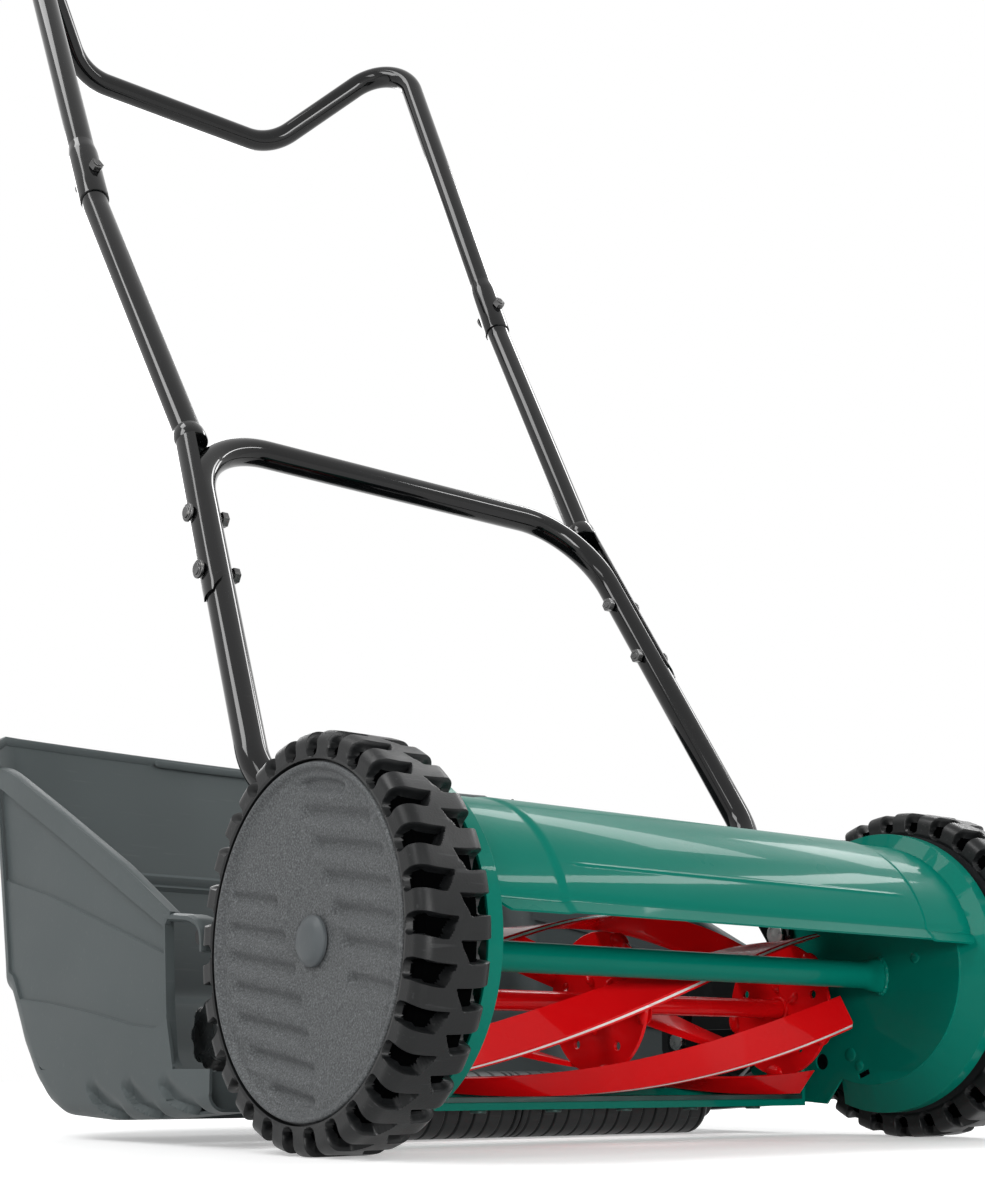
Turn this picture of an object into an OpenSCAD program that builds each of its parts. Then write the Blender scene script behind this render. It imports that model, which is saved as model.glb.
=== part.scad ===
// Push reel mower: two wheels drive a five-bladed reel through internal gears,
// a rear roller sets the cutting height, and a tall handle and a grass box stand behind.
// Millimetres. X runs across the mower, -Y is the front and +Z is up. The origin lies
// on the ground, under the middle of the wheel axle.

/* [Wheels] */
// Outside radius of a tyre
tyre_r = 120; // [114:1:124]
// Width of a tyre
tyre_w = 48; // [42:1:52]
// Width of the flat crown of a tyre
crown_w = 31; // [24:1:36]
// Thickness of a tyre from its rim to its tread
tyre_t = 17; // [12:1:18]
// Distance of a wheel's middle plane outside a side plate
wheel_out_x = 52; // [52:1:60]
// Number of lugs in one row of the tread
lug_count = 30; // [24:2:36]
// Depth of the tread
lug_depth = 5; // [3:0.5:7]
// Width of the gap between two lugs
lug_gap = 9; // [6:0.5:11]
// Lean of the gaps between the lugs, in degrees
lug_lean = 14; // [0:1:20]
// Radius of an axle
axle_r = 6; // [5:0.5:7]
// Radius of a wheel's hub
hub_r = 18; // [14:1:24]
// Radius of the cap over an axle's end
cap_r = 15; // [13.5:0.5:18]

/* [Gears] */
// Module of the gear teeth
gear_module = 2.5; // [2.45:0.01:2.5]
// Teeth of the ring gear inside a wheel
ring_teeth = 69; // [68:1:69]
// Teeth of a pinion on the reel's shaft
pinion_teeth = 12; // [12:1:13]
// Width of a pinion
pinion_w = 12.5; // [10:0.5:13]
// Height of the wheel axle above the reel's axis
reel_drop = 25.9; // [20:0.1:30]

/* [Reel] */
// Radius of the blades' cutting edges
reel_r = 63; // [60:0.5:64]
// Half of the blades' length
reel_half = 190; // [170:1:230]
// Number of blades
blade_count = 5; // [4:1:6]
// Thickness of a blade
blade_t = 3; // [2:0.5:4]
// Width of a blade's strip
blade_w = 23; // [18:1:24]
// Lean of a blade's strip from the radius, in degrees
blade_lean = 50; // [30:5:55]
// Turn of a blade from end to end, in degrees
blade_twist = 120; // [60:5:140]
// Place of the first blade round the reel at its middle, in degrees
blade_start = 178; // [170:1:186]
// Radius of the reel's shaft
shaft_r = 7; // [6:0.5:8]
// Radius of the discs that carry the blades
disc_r = 49.5; // [44:0.5:49.5]
// Thickness of a disc
disc_t = 3; // [2:0.5:4]
// Distance of the outer discs inside the blades' ends
disc_inset = 10; // [8:1:60]

/* [Side plates] */
// Gap between the blades' ends and a side plate
reel_gap = 12; // [11:1:14]
// Thickness of a side plate
plate_t = 2; // [1.5:0.5:2]
// Radius of a side plate's flat web
web_r = 82; // [78:1:84]
// Radius of a side plate's rim
plate_rim_r = 102; // [98:1:104]
// How far the rim stands outside the web's inner face
dish_depth = 22; // [18:1:24]
// Radius of the round hole in a side plate
round_hole_r = 6; // [3:0.5:8]

/* [Shroud, tie bar and bedknife] */
// Outside radius of the shroud's curve
shroud_r = 93; // [92.5:0.5:95]
// Thickness of the shroud's sheet
shroud_t = 1.5; // [1:0.5:2]
// How far the shroud reaches over a side plate
shroud_over = 4; // [2:0.5:4]
// Front edge of the shroud's lip: distance in front of the axle
lip_y = 95.6; // [94:0.2:97]
// Height of the lip's edge above the axle
lip_rise = 15.8; // [10:0.2:20]
// Radius of the tie bar
tie_r = 9.5; // [7:0.5:10]
// Distance of the tie bar in front of the axle
tie_y = 13.3; // [12:0.1:18]
// Wall of the tie bar
tie_wall = 2; // [1.5:0.5:3]
// Running gap between the reel and the bedknife
knife_gap = 0.4; // [0.3:0.1:0.8]
// Thickness of the bedknife
knife_t = 3; // [2:0.5:4]
// Length of the bedknife from front to back
knife_depth = 30; // [26:1:32]
// Thickness of the bar under the bedknife
bar_t = 5; // [4:0.5:6]

/* [Rear roller] */
// Radius of the roller
roller_r = 24; // [18:1:24]
// Distance of the roller's axis behind the wheel axle
roller_y = 174; // [172:1:178]
// Gap between the roller's ends and the side plates' outer faces
roller_gap = 17.5; // [17:0.5:30]
// Radius of the roller's axle
roller_axle_r = 4; // [3:0.5:5]
// Pivot of the roller arms behind the axle
arm_y = 100; // [98:1:102]
// Height of the arms' pivot
arm_z = 72; // [70:1:74]
// Distance of a height knob from the arms' pivot
knob_reach = 93; // [91:1:94]
// Radius of a height knob
knob_r = 24; // [18:1:24]
// How far the arms swing each way from the middle setting, in degrees
height_swing = 20; // [10:1:20]

/* [Handle] */
// Radius of the handle's tubes
tube_r = 11; // [9:0.5:11]
// Wall of the handle's tubes
tube_wall = 1; // [0.8:0.1:2]
// Pivot of the handle behind the axle
handle_y = 82; // [80:1:84]
// Height of the handle's pivot
handle_z = 152; // [148:1:154]
// Height of the crossbar
crossbar_z = 532; // [520:1:545]
// Bend radius of the crossbar's corners
crossbar_bend = 75; // [65:1:85]
// Height where the middle tubes enter the top handle
joint_z = 775; // [760:1:790]
// Height of the top handle's corners
corner_z = 1183; // [1160:1:1200]
// Height of the straight grip
grip_z = 1078; // [1060:1:1090]
// Half of the straight grip's length between its bends
grip_half = 113; // [105:1:120]
// How far the handle's corners stand outside a side plate
corner_out_x = 21; // [19:1:24]

/* [Grass box] */
// How far the grass box's side stands outside a wheel's middle plane
box_out_x = 14; // [12:1:18]
// Thickness of the grass box's walls
box_wall = 2; // [1.5:0.5:3]
// Height of the grass box's rear edge
box_top = 325; // [315:1:335]
// Rear edge of the grass box behind the axle
box_rear = 528; // [515:1:540]

/* [Hidden] */
$fn = 96;
tube_fn = 48;

// Fits
run = 0.06;
press = 0.03;
face = 0.1;
air = 0.4;

// Stations across the mower, measured from its middle
plate_x = reel_half + reel_gap + plate_t;
wheel_x = plate_x + wheel_out_x;
disc_x = reel_half - disc_inset;
shroud_half = plate_x + shroud_over;
roller_half = plate_x - roller_gap;
box_half = wheel_x + box_out_x;
box_skirt_x = box_half - 33;

// The wheel axle and the reel's axis, as [y, z]
axle = [0, tyre_r];
gear_c = gear_module * (ring_teeth - pinion_teeth) / 2;
reel = [sqrt(gear_c * gear_c - reel_drop * reel_drop), tyre_r - reel_drop];
mesh_a = atan2(reel.y - axle.y, reel.x - axle.x);
web_in = plate_x - plate_t;
rim_r = tyre_r - tyre_t;

// Gear teeth
pressure = 20;
ring_pitch_r = gear_module * ring_teeth / 2;
ring_tip_r = ring_pitch_r - 0.6 * gear_module;
ring_root_r = ring_pitch_r + 1.25 * gear_module;
pinion_tip_r = gear_module * (pinion_teeth / 2 + 1);
pinion_root_r = gear_module * (pinion_teeth / 2 - 1.2);
tooth_play = 0.25;

// Stations across the wheel, measured from its middle plane
wheel_in = -tyre_w / 2 + 1;
wheel_out = tyre_w / 2 - 4;
ring_w = pinion_w + 2;
web_plane = -4;
web_t = 4;
hub_in = -20;
hub_out = 9;
nut_af_r = 10;
nut_t = 5.5;

// Stations along the reel's shaft
pinion_x = wheel_x + wheel_in + 1;
clip_x = pinion_x + pinion_w + 0.5;
clip_t = 1.2;
shaft_end = clip_x + clip_t + 2.4;
clip_groove = 0.8;
recess_w = 6;
recess_r = 9.2;
key_t = 3;
key_w = 4.5;
bearing_r = 12;
bearing_flange_r = 15;

// The pivot of the handle, the pivot of the arms, the knob and the roller, as [y, z]
handle_pivot = [handle_y, handle_z];
arm_pivot = [arm_y, arm_z];
knob = arm_pivot + knob_reach * [1, 0];
roller = [roller_y, roller_r];
carrier_t = 10;
carrier_in = plate_x + 0.2;
carrier_out = carrier_in + carrier_t;
arm_t = 6.5;
arm_in = web_in - 0.4 - arm_t;
pivot_r = 5;
knob_bolt_r = 4.5;
knob_in = carrier_out + 0.3;
knob_t = 21;
hook_peg = [150, 133];
hook_peg_r = 5.5;
hook_peg_end = box_half - 6;

// The bedknife under the reel
knife_top = reel.y - reel_r - knife_gap;
knife_y = reel.x - 6;
bar_top = knife_top - knife_t - face;
bar_y = knife_y + 3;
bar_depth = knife_depth + 4;
bar_end_t = 3;
tie = [-tie_y, tyre_r - 3.9];

// Tubes of the handle: a leg rises from its bend beside the wheel to the crossbar
tongue_t = 6;
tongue_x = web_in - 0.3 - tongue_t / 2;
leg_bend = [plate_x + 24, 147, 246];
leg_slope = [-0.11, 0.58, 1];
crossbar = leg_bend + (crossbar_z - leg_bend.z) * leg_slope;
channel_low = leg_bend + (380 - leg_bend.z) * leg_slope;
channel_high = leg_bend + (525 - leg_bend.z) * leg_slope;
joint = [plate_x + 12.7, 457.7, joint_z];
corner = [plate_x + corner_out_x, 651.6, corner_z];
valley = [grip_half, 745.6, grip_z];
leg_bolts = [403, 454];
channel_gap = 0.15;
channel_wall = 1.5;
sleeve_low = 8;
sleeve_high = 68;
sleeve_end = sleeve_high + 3;
sleeve_bolt = 36;
sleeve_wall = 1.4;
bolt_r = 3;
bolt_head_r = 7;
nut_r = 6;
// Room for a bolt's head where the leg leans away under it
leg_lean_gap = 0.9;

// Outline of the grass box seen from the side, as [y, z]
box_floor_y = 217;
box_side_front = 120;
box_notch_z = 48;
box_low = 14.4;
box_curve = [[box_floor_y, 16], [270, box_low], [344, 17], [372, 24], [400, 38], [428, 62],
  [446, 87], [458, 103], [470, 108], [489, 183], [box_rear - 2, box_top - 8],
  [box_rear, box_top]];
box_rim_front = [182, 150];
box_rim_rear = [507, 297];
box_rim_w = 9;

function unit(v) = v / norm(v);
function polar(r, a) = [r * cos(a), r * sin(a)];
function flip(v, s) = [s * v.x, v.y, v.z];
function hundredth(a) = floor(a * 100 + 0.5) / 100;

// A frame at o whose Z axis runs along z and whose X axis leans towards x
function frame(o, z, x) =
  let (w = unit(z), v = unit(cross(w, x)), u = cross(v, w))
  [[u.x, v.x, w.x, o.x], [u.y, v.y, w.y, o.y], [u.z, v.z, w.z, o.z], [0, 0, 0, 1]];

// Draws a flat outline, given as y and z, at x and gives it a thickness along X
module along_x(x, t) {
  translate([x, 0, 0]) rotate([90, 0, 90]) linear_extrude(t) children();
}

// Turns what is built round Z so that it lies round the line through p along X
module spin_x(x, p) {
  translate([x, p.x, p.y]) rotate([90, 0, 90]) children();
}

module rod_x(x0, x1, p, r) {
  spin_x(x0, p) cylinder(h = x1 - x0, r = r);
}

module hex_x(x0, x1, p, r) {
  spin_x(x0, p) cylinder(h = x1 - x0, r = r, $fn = 6);
}

module ring_x(x0, x1, p, ri, ro) {
  spin_x(x0, p) rotate_extrude() polygon([[ri, 0], [ro, 0], [ro, x1 - x0], [ri, x1 - x0]]);
}

module mirrored(s) {
  if (s > 0) children();
  else mirror([1, 0, 0]) children();
}

// A flat bar from p to q, as an outline
module bar2d(p, q, w) {
  n = w / 2 * [-(q - p).y, (q - p).x] / norm(q - p);
  polygon([p + n, p - n, q - n, q + n]);
}

module disc2d(p, r) {
  translate(p) circle(r);
}

// A hollow tube up the Z axis
module pipe(h, ro, ri) {
  difference() {
    cylinder(h = h, r = ro);
    translate([0, 0, -1]) cylinder(h = h + 2, r = ri);
  }
}

// A hollow tube along a line of corners, with a bend of its own radius at each inner corner
module bent_tube(pts, bends, ro, ri) {
  $fn = tube_fn;
  n = len(pts);
  dirs = [for (i = [0:n - 2]) unit(pts[i + 1] - pts[i])];
  turns = [for (i = [1:n - 2]) hundredth(acos(dirs[i - 1] * dirs[i]))];
  sides = [for (i = [1:n - 2]) unit(dirs[i] - (dirs[i - 1] * dirs[i]) * dirs[i - 1])];
  rolls = [0, if (n > 3) for (i = [1:n - 3])
    let (x = cos(turns[i - 1]) * sides[i - 1] - sin(turns[i - 1]) * dirs[i - 1],
      y = cross(dirs[i], x))
    hundredth(atan2(sides[i] * y, sides[i] * x))];
  cuts = [0, for (i = [1:n - 2]) bends[i - 1] * tan(turns[i - 1] / 2), 0];
  legs = [for (i = [0:n - 2]) hundredth(norm(pts[i + 1] - pts[i]) - cuts[i] - cuts[i + 1])];
  multmatrix(frame(pts[0], dirs[0], sides[0]))
    tube_run(legs, turns, rolls, bends, ro, ri, 0);
}

// Straight tube i, the bend after it, and the rest of the run from there on. A thin spigot
// joins each bend to the straight tubes before and after it.
module tube_run(legs, turns, rolls, bends, ro, ri, i) {
  low = i == 0 ? 0 : 0.1;
  high = i == len(turns) ? 0 : 0.1;
  translate([0, 0, low]) pipe(legs[i] - low - high, ro, ri);
  for (z = [if (i > 0) 0, if (i < len(turns)) legs[i]])
    translate([0, 0, z - 1.5]) pipe(3, ro - 0.1, ri + 0.1);
  if (i < len(turns))
    translate([0, 0, legs[i]]) rotate([0, 0, rolls[i]]) translate([bends[i], 0, 0]) {
      rotate([90, 0, 180]) rotate_extrude(angle = turns[i]) translate([bends[i], 0])
        difference() {
          circle(ro);
          circle(ri);
        }
      rotate([0, turns[i], 0]) translate([-bends[i], 0, 0])
        tube_run(legs, turns, rolls, bends, ro, ri, i + 1);
    }
}

// Gear teeth with involute flanks
function involute_turn(a) = tan(a) * 180 / PI - a;
function half_tooth(r, n, play) =
  let (base = gear_module * n / 2 * cos(pressure))
  90 / n + play + involute_turn(pressure) - involute_turn(acos(min(1, base / r)));
function gear_outline(n, r_in, r_out, play) =
  let (steps = 4, radii = [for (i = [0:steps - 1]) r_in + (r_out - r_in) * i / (steps - 1)])
  [for (i = [0:n - 1]) each concat(
    [for (r = radii) polar(r, 360 / n * i - half_tooth(r, n, play))],
    [for (k = [steps - 1:-1:0]) polar(radii[k], 360 / n * i + half_tooth(radii[k], n, play))])];
// Degrees that thin a tooth by tooth_play
function play_angle(n) = tooth_play / (gear_module * n / 2) * 90 / PI;

// Side plate: a dished pressing whose flat web carries the axle, the reel and the handle
dish_from = 72;
dish_angle = 218;
bar_screws = [[bar_y + 10, 40], [bar_y + 26, 44]];
carrier_holes = [[104, 106], [102, 90]];
rivets = [for (a = [112, 134, 154]) axle + polar(74, a)];
round_hole = [46, 55];
slot_hole = [6, 46];

module plate_outline() {
  disc2d(axle, web_r);
  polygon([axle, handle_pivot + [-16, 6], handle_pivot + [13, -10], [126, 116],
    [126, 58], arm_pivot + [4, -44], [knife_y - 18, 24], [24, 46]]);
  disc2d(handle_pivot, 16);
}

module side_plate(s) {
  color([0.02, 0.47, 0.40]) mirrored(s) difference() {
    union() {
      along_x(web_in, plate_t) plate_outline();
      spin_x(web_in, axle) rotate([0, 0, dish_from]) rotate_extrude(angle = dish_angle)
        polygon([[web_r - 4, 0.2], [web_r - 2, 0.2], [plate_rim_r, dish_depth - 10],
          [plate_rim_r, dish_depth], [plate_rim_r - plate_t, dish_depth],
          [plate_rim_r - plate_t, dish_depth - 9], [web_r - 4, plate_t - 0.6]]);
    }
    along_x(web_in - 1, plate_t + 2) {
      disc2d(axle, axle_r + press);
      disc2d(reel, bearing_r + press);
      disc2d(handle_pivot, pivot_r + run);
      disc2d(arm_pivot, pivot_r + run);
      disc2d(round_hole, round_hole_r);
      bar2d(slot_hole - [5, -2], slot_hole + [5, -2], 4);
      for (p = concat(bar_screws, carrier_holes, rivets)) disc2d(p, bolt_r + press);
    }
  }
}

module tie_bar() {
  color([0.02, 0.45, 0.38])
    ring_x(-web_in, web_in, tie, tie_r - tie_wall, tie_r);
}

// Shroud: one sheet curved round the axle, with a turned lip in front and a tab at each end
shroud_rear = 48;
shroud_front = 166;
tab_t = 1.5;
tab_in = web_in - face - tab_t;

module shroud() {
  lip = axle + [-lip_y, lip_rise];
  root = axle + polar(shroud_r - shroud_t / 2, shroud_front);
  inner = shroud_r - shroud_t;
  color([0.02, 0.50, 0.42]) union() {
    spin_x(-shroud_half, axle) rotate([0, 0, shroud_rear])
      rotate_extrude(angle = shroud_front - shroud_rear)
        polygon([[inner, 0], [shroud_r, 0], [shroud_r, 2 * shroud_half],
          [inner, 2 * shroud_half]]);
    along_x(-shroud_half, 2 * shroud_half)
      bar2d(root - unit(lip - root), lip, shroud_t - 0.4);
    for (s = [-1, 1]) mirrored(s)
      spin_x(tab_in, axle) rotate([0, 0, 104]) rotate_extrude(angle = 58)
        polygon([[62, 0], [inner + 0.5, 0], [inner + 0.5, tab_t], [62, tab_t]]);
  }
}

module shroud_rivets() {
  color([0.75, 0.78, 0.78]) for (s = [-1, 1], p = rivets) mirrored(s) {
    rod_x(tab_in - 1.5, tab_in - face, p, 5);
    rod_x(plate_x + face, plate_x + 1.6, p, 5);
    rod_x(tab_in - face, plate_x + face, p, bolt_r);
  }
}

module shroud_drilled() {
  difference() {
    shroud();
    for (s = [-1, 1], p = rivets) mirrored(s)
      rod_x(tab_in - 1, tab_in + tab_t + 1, p, bolt_r + press);
  }
}

// Bedknife: a steel strip screwed onto a pressed bar that ties the plates under the reel
knife_screw_x = [for (k = [-5:2:5]) k / 5 * (reel_half - 30)];
knife_screw_y = bar_y + 14;

module bedknife_bar() {
  x = web_in - face;
  color([0.02, 0.45, 0.38]) difference() {
    union() {
      translate([-x, bar_y, bar_top - bar_t]) cube([2 * x, bar_depth, bar_t]);
      translate([-x, bar_y + bar_depth - 4, bar_top - bar_t]) cube([2 * x, 4, 13]);
      for (s = [-1, 1]) mirrored(s)
        translate([x - bar_end_t, bar_y, bar_top - bar_t]) cube([bar_end_t, bar_depth, 28]);
    }
    for (sx = knife_screw_x) translate([sx, knife_screw_y, 0])
      cylinder(h = 60, r = bolt_r + press);
    for (s = [-1, 1], p = bar_screws) mirrored(s)
      rod_x(x - 10, x + 10, p, bolt_r + press);
  }
}

module bedknife() {
  color([0.55, 0.57, 0.58]) difference() {
    translate([-reel_half - 5, knife_y, knife_top - knife_t])
      cube([2 * reel_half + 10, knife_depth, knife_t]);
    for (sx = knife_screw_x) translate([sx, knife_screw_y, 0])
      cylinder(h = 60, r = bolt_r + press);
  }
}

module bedknife_screws() {
  color([0.7, 0.72, 0.73]) {
    for (sx = knife_screw_x) translate([sx, knife_screw_y, bar_top - bar_t - 2.2]) {
      cylinder(h = 2.1, r = 5.5);
      cylinder(h = bar_t + knife_t + 1.8, r = bolt_r);
    }
    for (s = [-1, 1], p = bar_screws) mirrored(s) {
      rod_x(web_in - face - bar_end_t, plate_x + 1, p, bolt_r);
      rod_x(plate_x + face, plate_x + 3, p, 5.5);
    }
  }
}

// Reel: a red shaft with three discs and five twisted blades
red = [0.82, 0.03, 0.05];

module reel_shaft() {
  color(red) difference() {
    rod_x(-shaft_end, shaft_end, reel, shaft_r);
    for (s = [-1, 1]) mirrored(s) {
      spin_x(clip_x - 0.1, reel) rotate_extrude()
        polygon([[shaft_r - clip_groove, 0], [shaft_r + 1, 0],
          [shaft_r + 1, clip_t + 0.2], [shaft_r - clip_groove, clip_t + 0.2]]);
      translate([pinion_x + 0.9, reel.x - 10, reel.y - key_t / 2 - press])
        cube([key_w + 0.2, 20, key_t + 2 * press]);
    }
  }
}

module reel_disc(x) {
  color(red) spin_x(x - disc_t / 2, reel) difference() {
    cylinder(h = disc_t, r = disc_r);
    translate([0, 0, -1]) cylinder(h = disc_t + 2, r = shaft_r + press);
    for (i = [0:blade_count - 1]) rotate([0, 0, 360 / blade_count * i + 20])
      translate([0.72 * disc_r, 0, -1]) cylinder(h = disc_t + 2, r = 3, $fn = 24);
  }
}

// The four corners of a blade's strip, with the ground edge on the reel's circle
land = blade_t / cos(blade_lean) / reel_r * 180 / PI;
strip = -blade_w * polar(1, blade_lean);
blade_corners = [polar(reel_r, 0), polar(reel_r, land), polar(reel_r, land) + strip,
  polar(reel_r, 0) + strip];
blade_steps = 32;

function turn(p, a) = [p.x * cos(a) - p.y * sin(a), p.x * sin(a) + p.y * cos(a)];

module reel_blade(i) {
  pts = [for (k = [0:blade_steps], c = blade_corners)
    let (x = reel_half * (2 * k / blade_steps - 1),
      a = blade_start + 360 / blade_count * i - blade_twist * x / (2 * reel_half),
      q = turn(c, a) + reel)
    [x, q.x, q.y]];
  sides = [for (k = [0:blade_steps - 1], c = [0:3])
    let (a = 4 * k + c, b = 4 * k + (c + 1) % 4)
    each [[a, a + 4, b + 4], [a, b + 4, b]]];
  last = 4 * blade_steps;
  ends = [[0, 1, 2], [0, 2, 3], [last + 2, last + 1, last], [last + 3, last + 2, last]];
  color(red) polyhedron(pts, concat(sides, ends));
}

// Reel bearing: a bush that is pressed into the web and reaches out to the pinion
module reel_bearing(s) {
  w0 = web_in - 6;
  color([0.08, 0.08, 0.09]) mirrored(s) spin_x(w0, reel) rotate_extrude()
    polygon([[shaft_r + run, 0], [bearing_r, 0], [bearing_r, plate_x - w0 + face],
      [bearing_flange_r, plate_x - w0 + face], [bearing_flange_r, plate_x - w0 + 5],
      [bearing_r - 1, plate_x - w0 + 5], [bearing_r - 1, pinion_x - w0 - air],
      [shaft_r + run, pinion_x - w0 - air]]);
}

module pinion(s) {
  notches = 6;
  color([0.16, 0.16, 0.17]) mirrored(s) spin_x(pinion_x, reel) difference() {
    linear_extrude(pinion_w) rotate(mesh_a)
      polygon(gear_outline(pinion_teeth, pinion_root_r, pinion_tip_r,
        -play_angle(pinion_teeth)));
    translate([0, 0, -1]) cylinder(h = pinion_w + 2, r = shaft_r + run);
    translate([0, 0, -1]) linear_extrude(recess_w + 1) {
      circle(recess_r);
      for (i = [0:notches - 1]) rotate(60 * i) translate([recess_r, 0]) circle(1.2, $fn = 24);
    }
  }
}

// Ratchet key: a flat bar that slides through the shaft and catches the pinion's notches
module ratchet_key(s) {
  reach = recess_r - 0.3;
  color([0.6, 0.6, 0.62]) mirrored(s)
    translate([pinion_x + 1, reel.x - reach, reel.y - key_t / 2])
      cube([key_w, 2 * reach, key_t]);
}

module pinion_circlips() {
  color([0.3, 0.3, 0.32]) for (s = [-1, 1]) mirrored(s)
    ring_x(clip_x, clip_x + clip_t, reel, shaft_r - clip_groove + run, shaft_r + 3.5);
}

// Wheel: a moulded drum with the ring gear inside it, a web and a hub
module wheel(s) {
  color([0.10, 0.10, 0.11]) mirrored(s) spin_x(wheel_x, axle) difference() {
    rotate_extrude() polygon([[axle_r + run, hub_in], [hub_r, hub_in],
      [hub_r, web_plane], [ring_tip_r, web_plane], [ring_tip_r, wheel_in],
      [rim_r, wheel_in], [rim_r, wheel_out], [rim_r - 6.5, wheel_out],
      [rim_r - 6.5, web_plane + web_t], [hub_r, web_plane + web_t],
      [hub_r, hub_out], [axle_r + run, hub_out]]);
    translate([0, 0, wheel_in - 1]) linear_extrude(ring_w + 1) rotate(mesh_a)
      polygon(gear_outline(ring_teeth, ring_tip_r - 1, ring_root_r, play_angle(ring_teeth)));
  }
}

// Tyre: rounded shoulders, and two rows of leaning lugs set half a pitch apart
shoulder_r = tyre_r - 8;

module tyre(s) {
  h = tyre_w / 2;
  c = crown_w / 2;
  curve = [for (a = [0:15:90])
    [shoulder_r + (tyre_r - shoulder_r) * sin(a), c + (h - c) * cos(a)]];
  low = [for (i = [len(curve) - 1:-1:0]) [curve[i].x, -curve[i].y]];
  color([0.09, 0.09, 0.10]) mirrored(s) spin_x(wheel_x, axle) difference() {
    rotate_extrude() polygon(concat([[rim_r + face, -h]], [for (i = [0:len(low) - 1])
      low[len(low) - 1 - i]], [for (i = [len(curve) - 1:-1:0]) curve[i]],
      [[rim_r + face, h]]));
    for (row = [0, 1], i = [0:lug_count - 1])
      rotate([0, 0, 360 / lug_count * (i + row / 2)]) mirror([0, 0, row])
        rotate([lug_lean, 0, 0]) rotate([90, 0, 0])
          translate([0, 0, -lug_gap / 2]) linear_extrude(lug_gap)
            polygon([[tyre_r - lug_depth, 4], [shoulder_r - 3, h + 6], [tyre_r + 6, h + 6],
              [tyre_r + 6, 4]]);
  }
}

// Wheel cover: a dished disc over the wheel's outer side
module wheel_cover(s) {
  h = wheel_out + face;
  color([0.36, 0.38, 0.39]) mirrored(s) spin_x(wheel_x, axle) rotate_extrude()
    polygon([[cap_r - 2, h - 8.5], [rim_r - 7, h - 2], [rim_r - 7, h], [rim_r - 1, h],
      [rim_r - 1, h + 3.6], [rim_r - 4, h + 3], [rim_r - 7, h + 1], [cap_r - 2, h - 6]]);
}

module wheel_cap(s) {
  h = wheel_out - 5.5;
  color([0.10, 0.11, 0.12]) mirrored(s) spin_x(wheel_x, axle) rotate_extrude()
    polygon([[nut_af_r + 0.5, h], [cap_r, h], [cap_r - 1, h + 2.5], [cap_r - 4, h + 4.5],
      [cap_r - 9, h + 5.8], [0, h + 6.3], [0, h + 4.3], [nut_af_r + 0.5, h + 2.2]]);
}

module axle_pin(s) {
  color([0.72, 0.74, 0.75]) mirrored(s) {
    rod_x(web_in + 0.2, wheel_x + hub_out + nut_t, axle, axle_r);
    rod_x(plate_x + face, wheel_x + hub_in - air, axle, axle_r + 4);
  }
}

module axle_nut(s) {
  x = wheel_x + hub_out + air;
  color([0.6, 0.62, 0.63]) mirrored(s) difference() {
    hex_x(x, x + nut_t - 0.5, axle, nut_af_r);
    rod_x(x - 1, x + nut_t + 1, axle, axle_r + press);
  }
}

// Rear carrier: a ribbed moulding on the side plate, with an arc slot and the box's peg
slot_r = knob_bolt_r + 0.3;

module rear_carrier(s) {
  color([0.06, 0.06, 0.07]) mirrored(s) difference() {
    union() {
      along_x(carrier_in, carrier_t)
        polygon([[92, 60], [92, 116], [126, 142], [168, 142], [180, 131], [216, 131],
          [222, 125], [222, 66], [212, 40], [198, 24], [150, 24], [130, 44]]);
      along_x(web_in, plate_t + 1)
        polygon([[128, 58], [128, 126], [160, 130], [160, 110], [136, 90], [136, 58]]);
      for (z = [52, 88, 120]) translate([carrier_out - 1, 112, z]) cube([8, 40, 2.5]);
      for (y = [112, 131, 150]) translate([carrier_out - 1, y, 52]) cube([8, 2.5, 70]);
      rod_x(carrier_in + 1, hook_peg_end, hook_peg, hook_peg_r);
    }
    rod_x(carrier_in - 1, carrier_out + 9, arm_pivot, pivot_r + run);
    for (p = carrier_holes) rod_x(carrier_in - 1, carrier_out + 9, p, bolt_r + press);
    spin_x(carrier_in - 1, arm_pivot) rotate([0, 0, -height_swing - 3])
      rotate_extrude(angle = 2 * height_swing + 6)
        polygon([[knob_reach - slot_r, 0], [knob_reach + slot_r, 0],
          [knob_reach + slot_r, carrier_t + 2], [knob_reach - slot_r, carrier_t + 2]]);
  }
}

module carrier_screws() {
  color([0.7, 0.72, 0.73]) for (s = [-1, 1], p = carrier_holes) mirrored(s) {
    rod_x(web_in + 0.2, carrier_out + 1, p, bolt_r);
    rod_x(carrier_out + face, carrier_out + 3, p, 5.5);
  }
}

// Roller arm: a steel arm that carries the roller's axle and the height knob's bolt
module roller_arm(s) {
  color([0.07, 0.07, 0.08]) mirrored(s) along_x(arm_in, arm_t) difference() {
    union() {
      disc2d(arm_pivot, 13);
      disc2d(roller, 12);
      disc2d(knob, 13);
      bar2d(arm_pivot, roller, 18);
      bar2d(arm_pivot, knob, 18);
      bar2d(roller, knob, 18);
    }
    disc2d(arm_pivot, pivot_r + run);
    disc2d(roller, roller_axle_r + press);
    disc2d(knob, knob_bolt_r + press);
  }
}

module roller_arm_pivots() {
  color([0.7, 0.72, 0.73]) for (s = [-1, 1]) mirrored(s) {
    rod_x(arm_in - 3.2, arm_in - face, arm_pivot, 9);
    rod_x(arm_in - 1, carrier_out + 4, arm_pivot, pivot_r);
    hex_x(carrier_out + face, carrier_out + 4.5, arm_pivot, 9);
  }
}

module roller_axle() {
  color([0.6, 0.62, 0.63]) rod_x(-arm_in - arm_t, arm_in + arm_t, roller, roller_axle_r);
}

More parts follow.
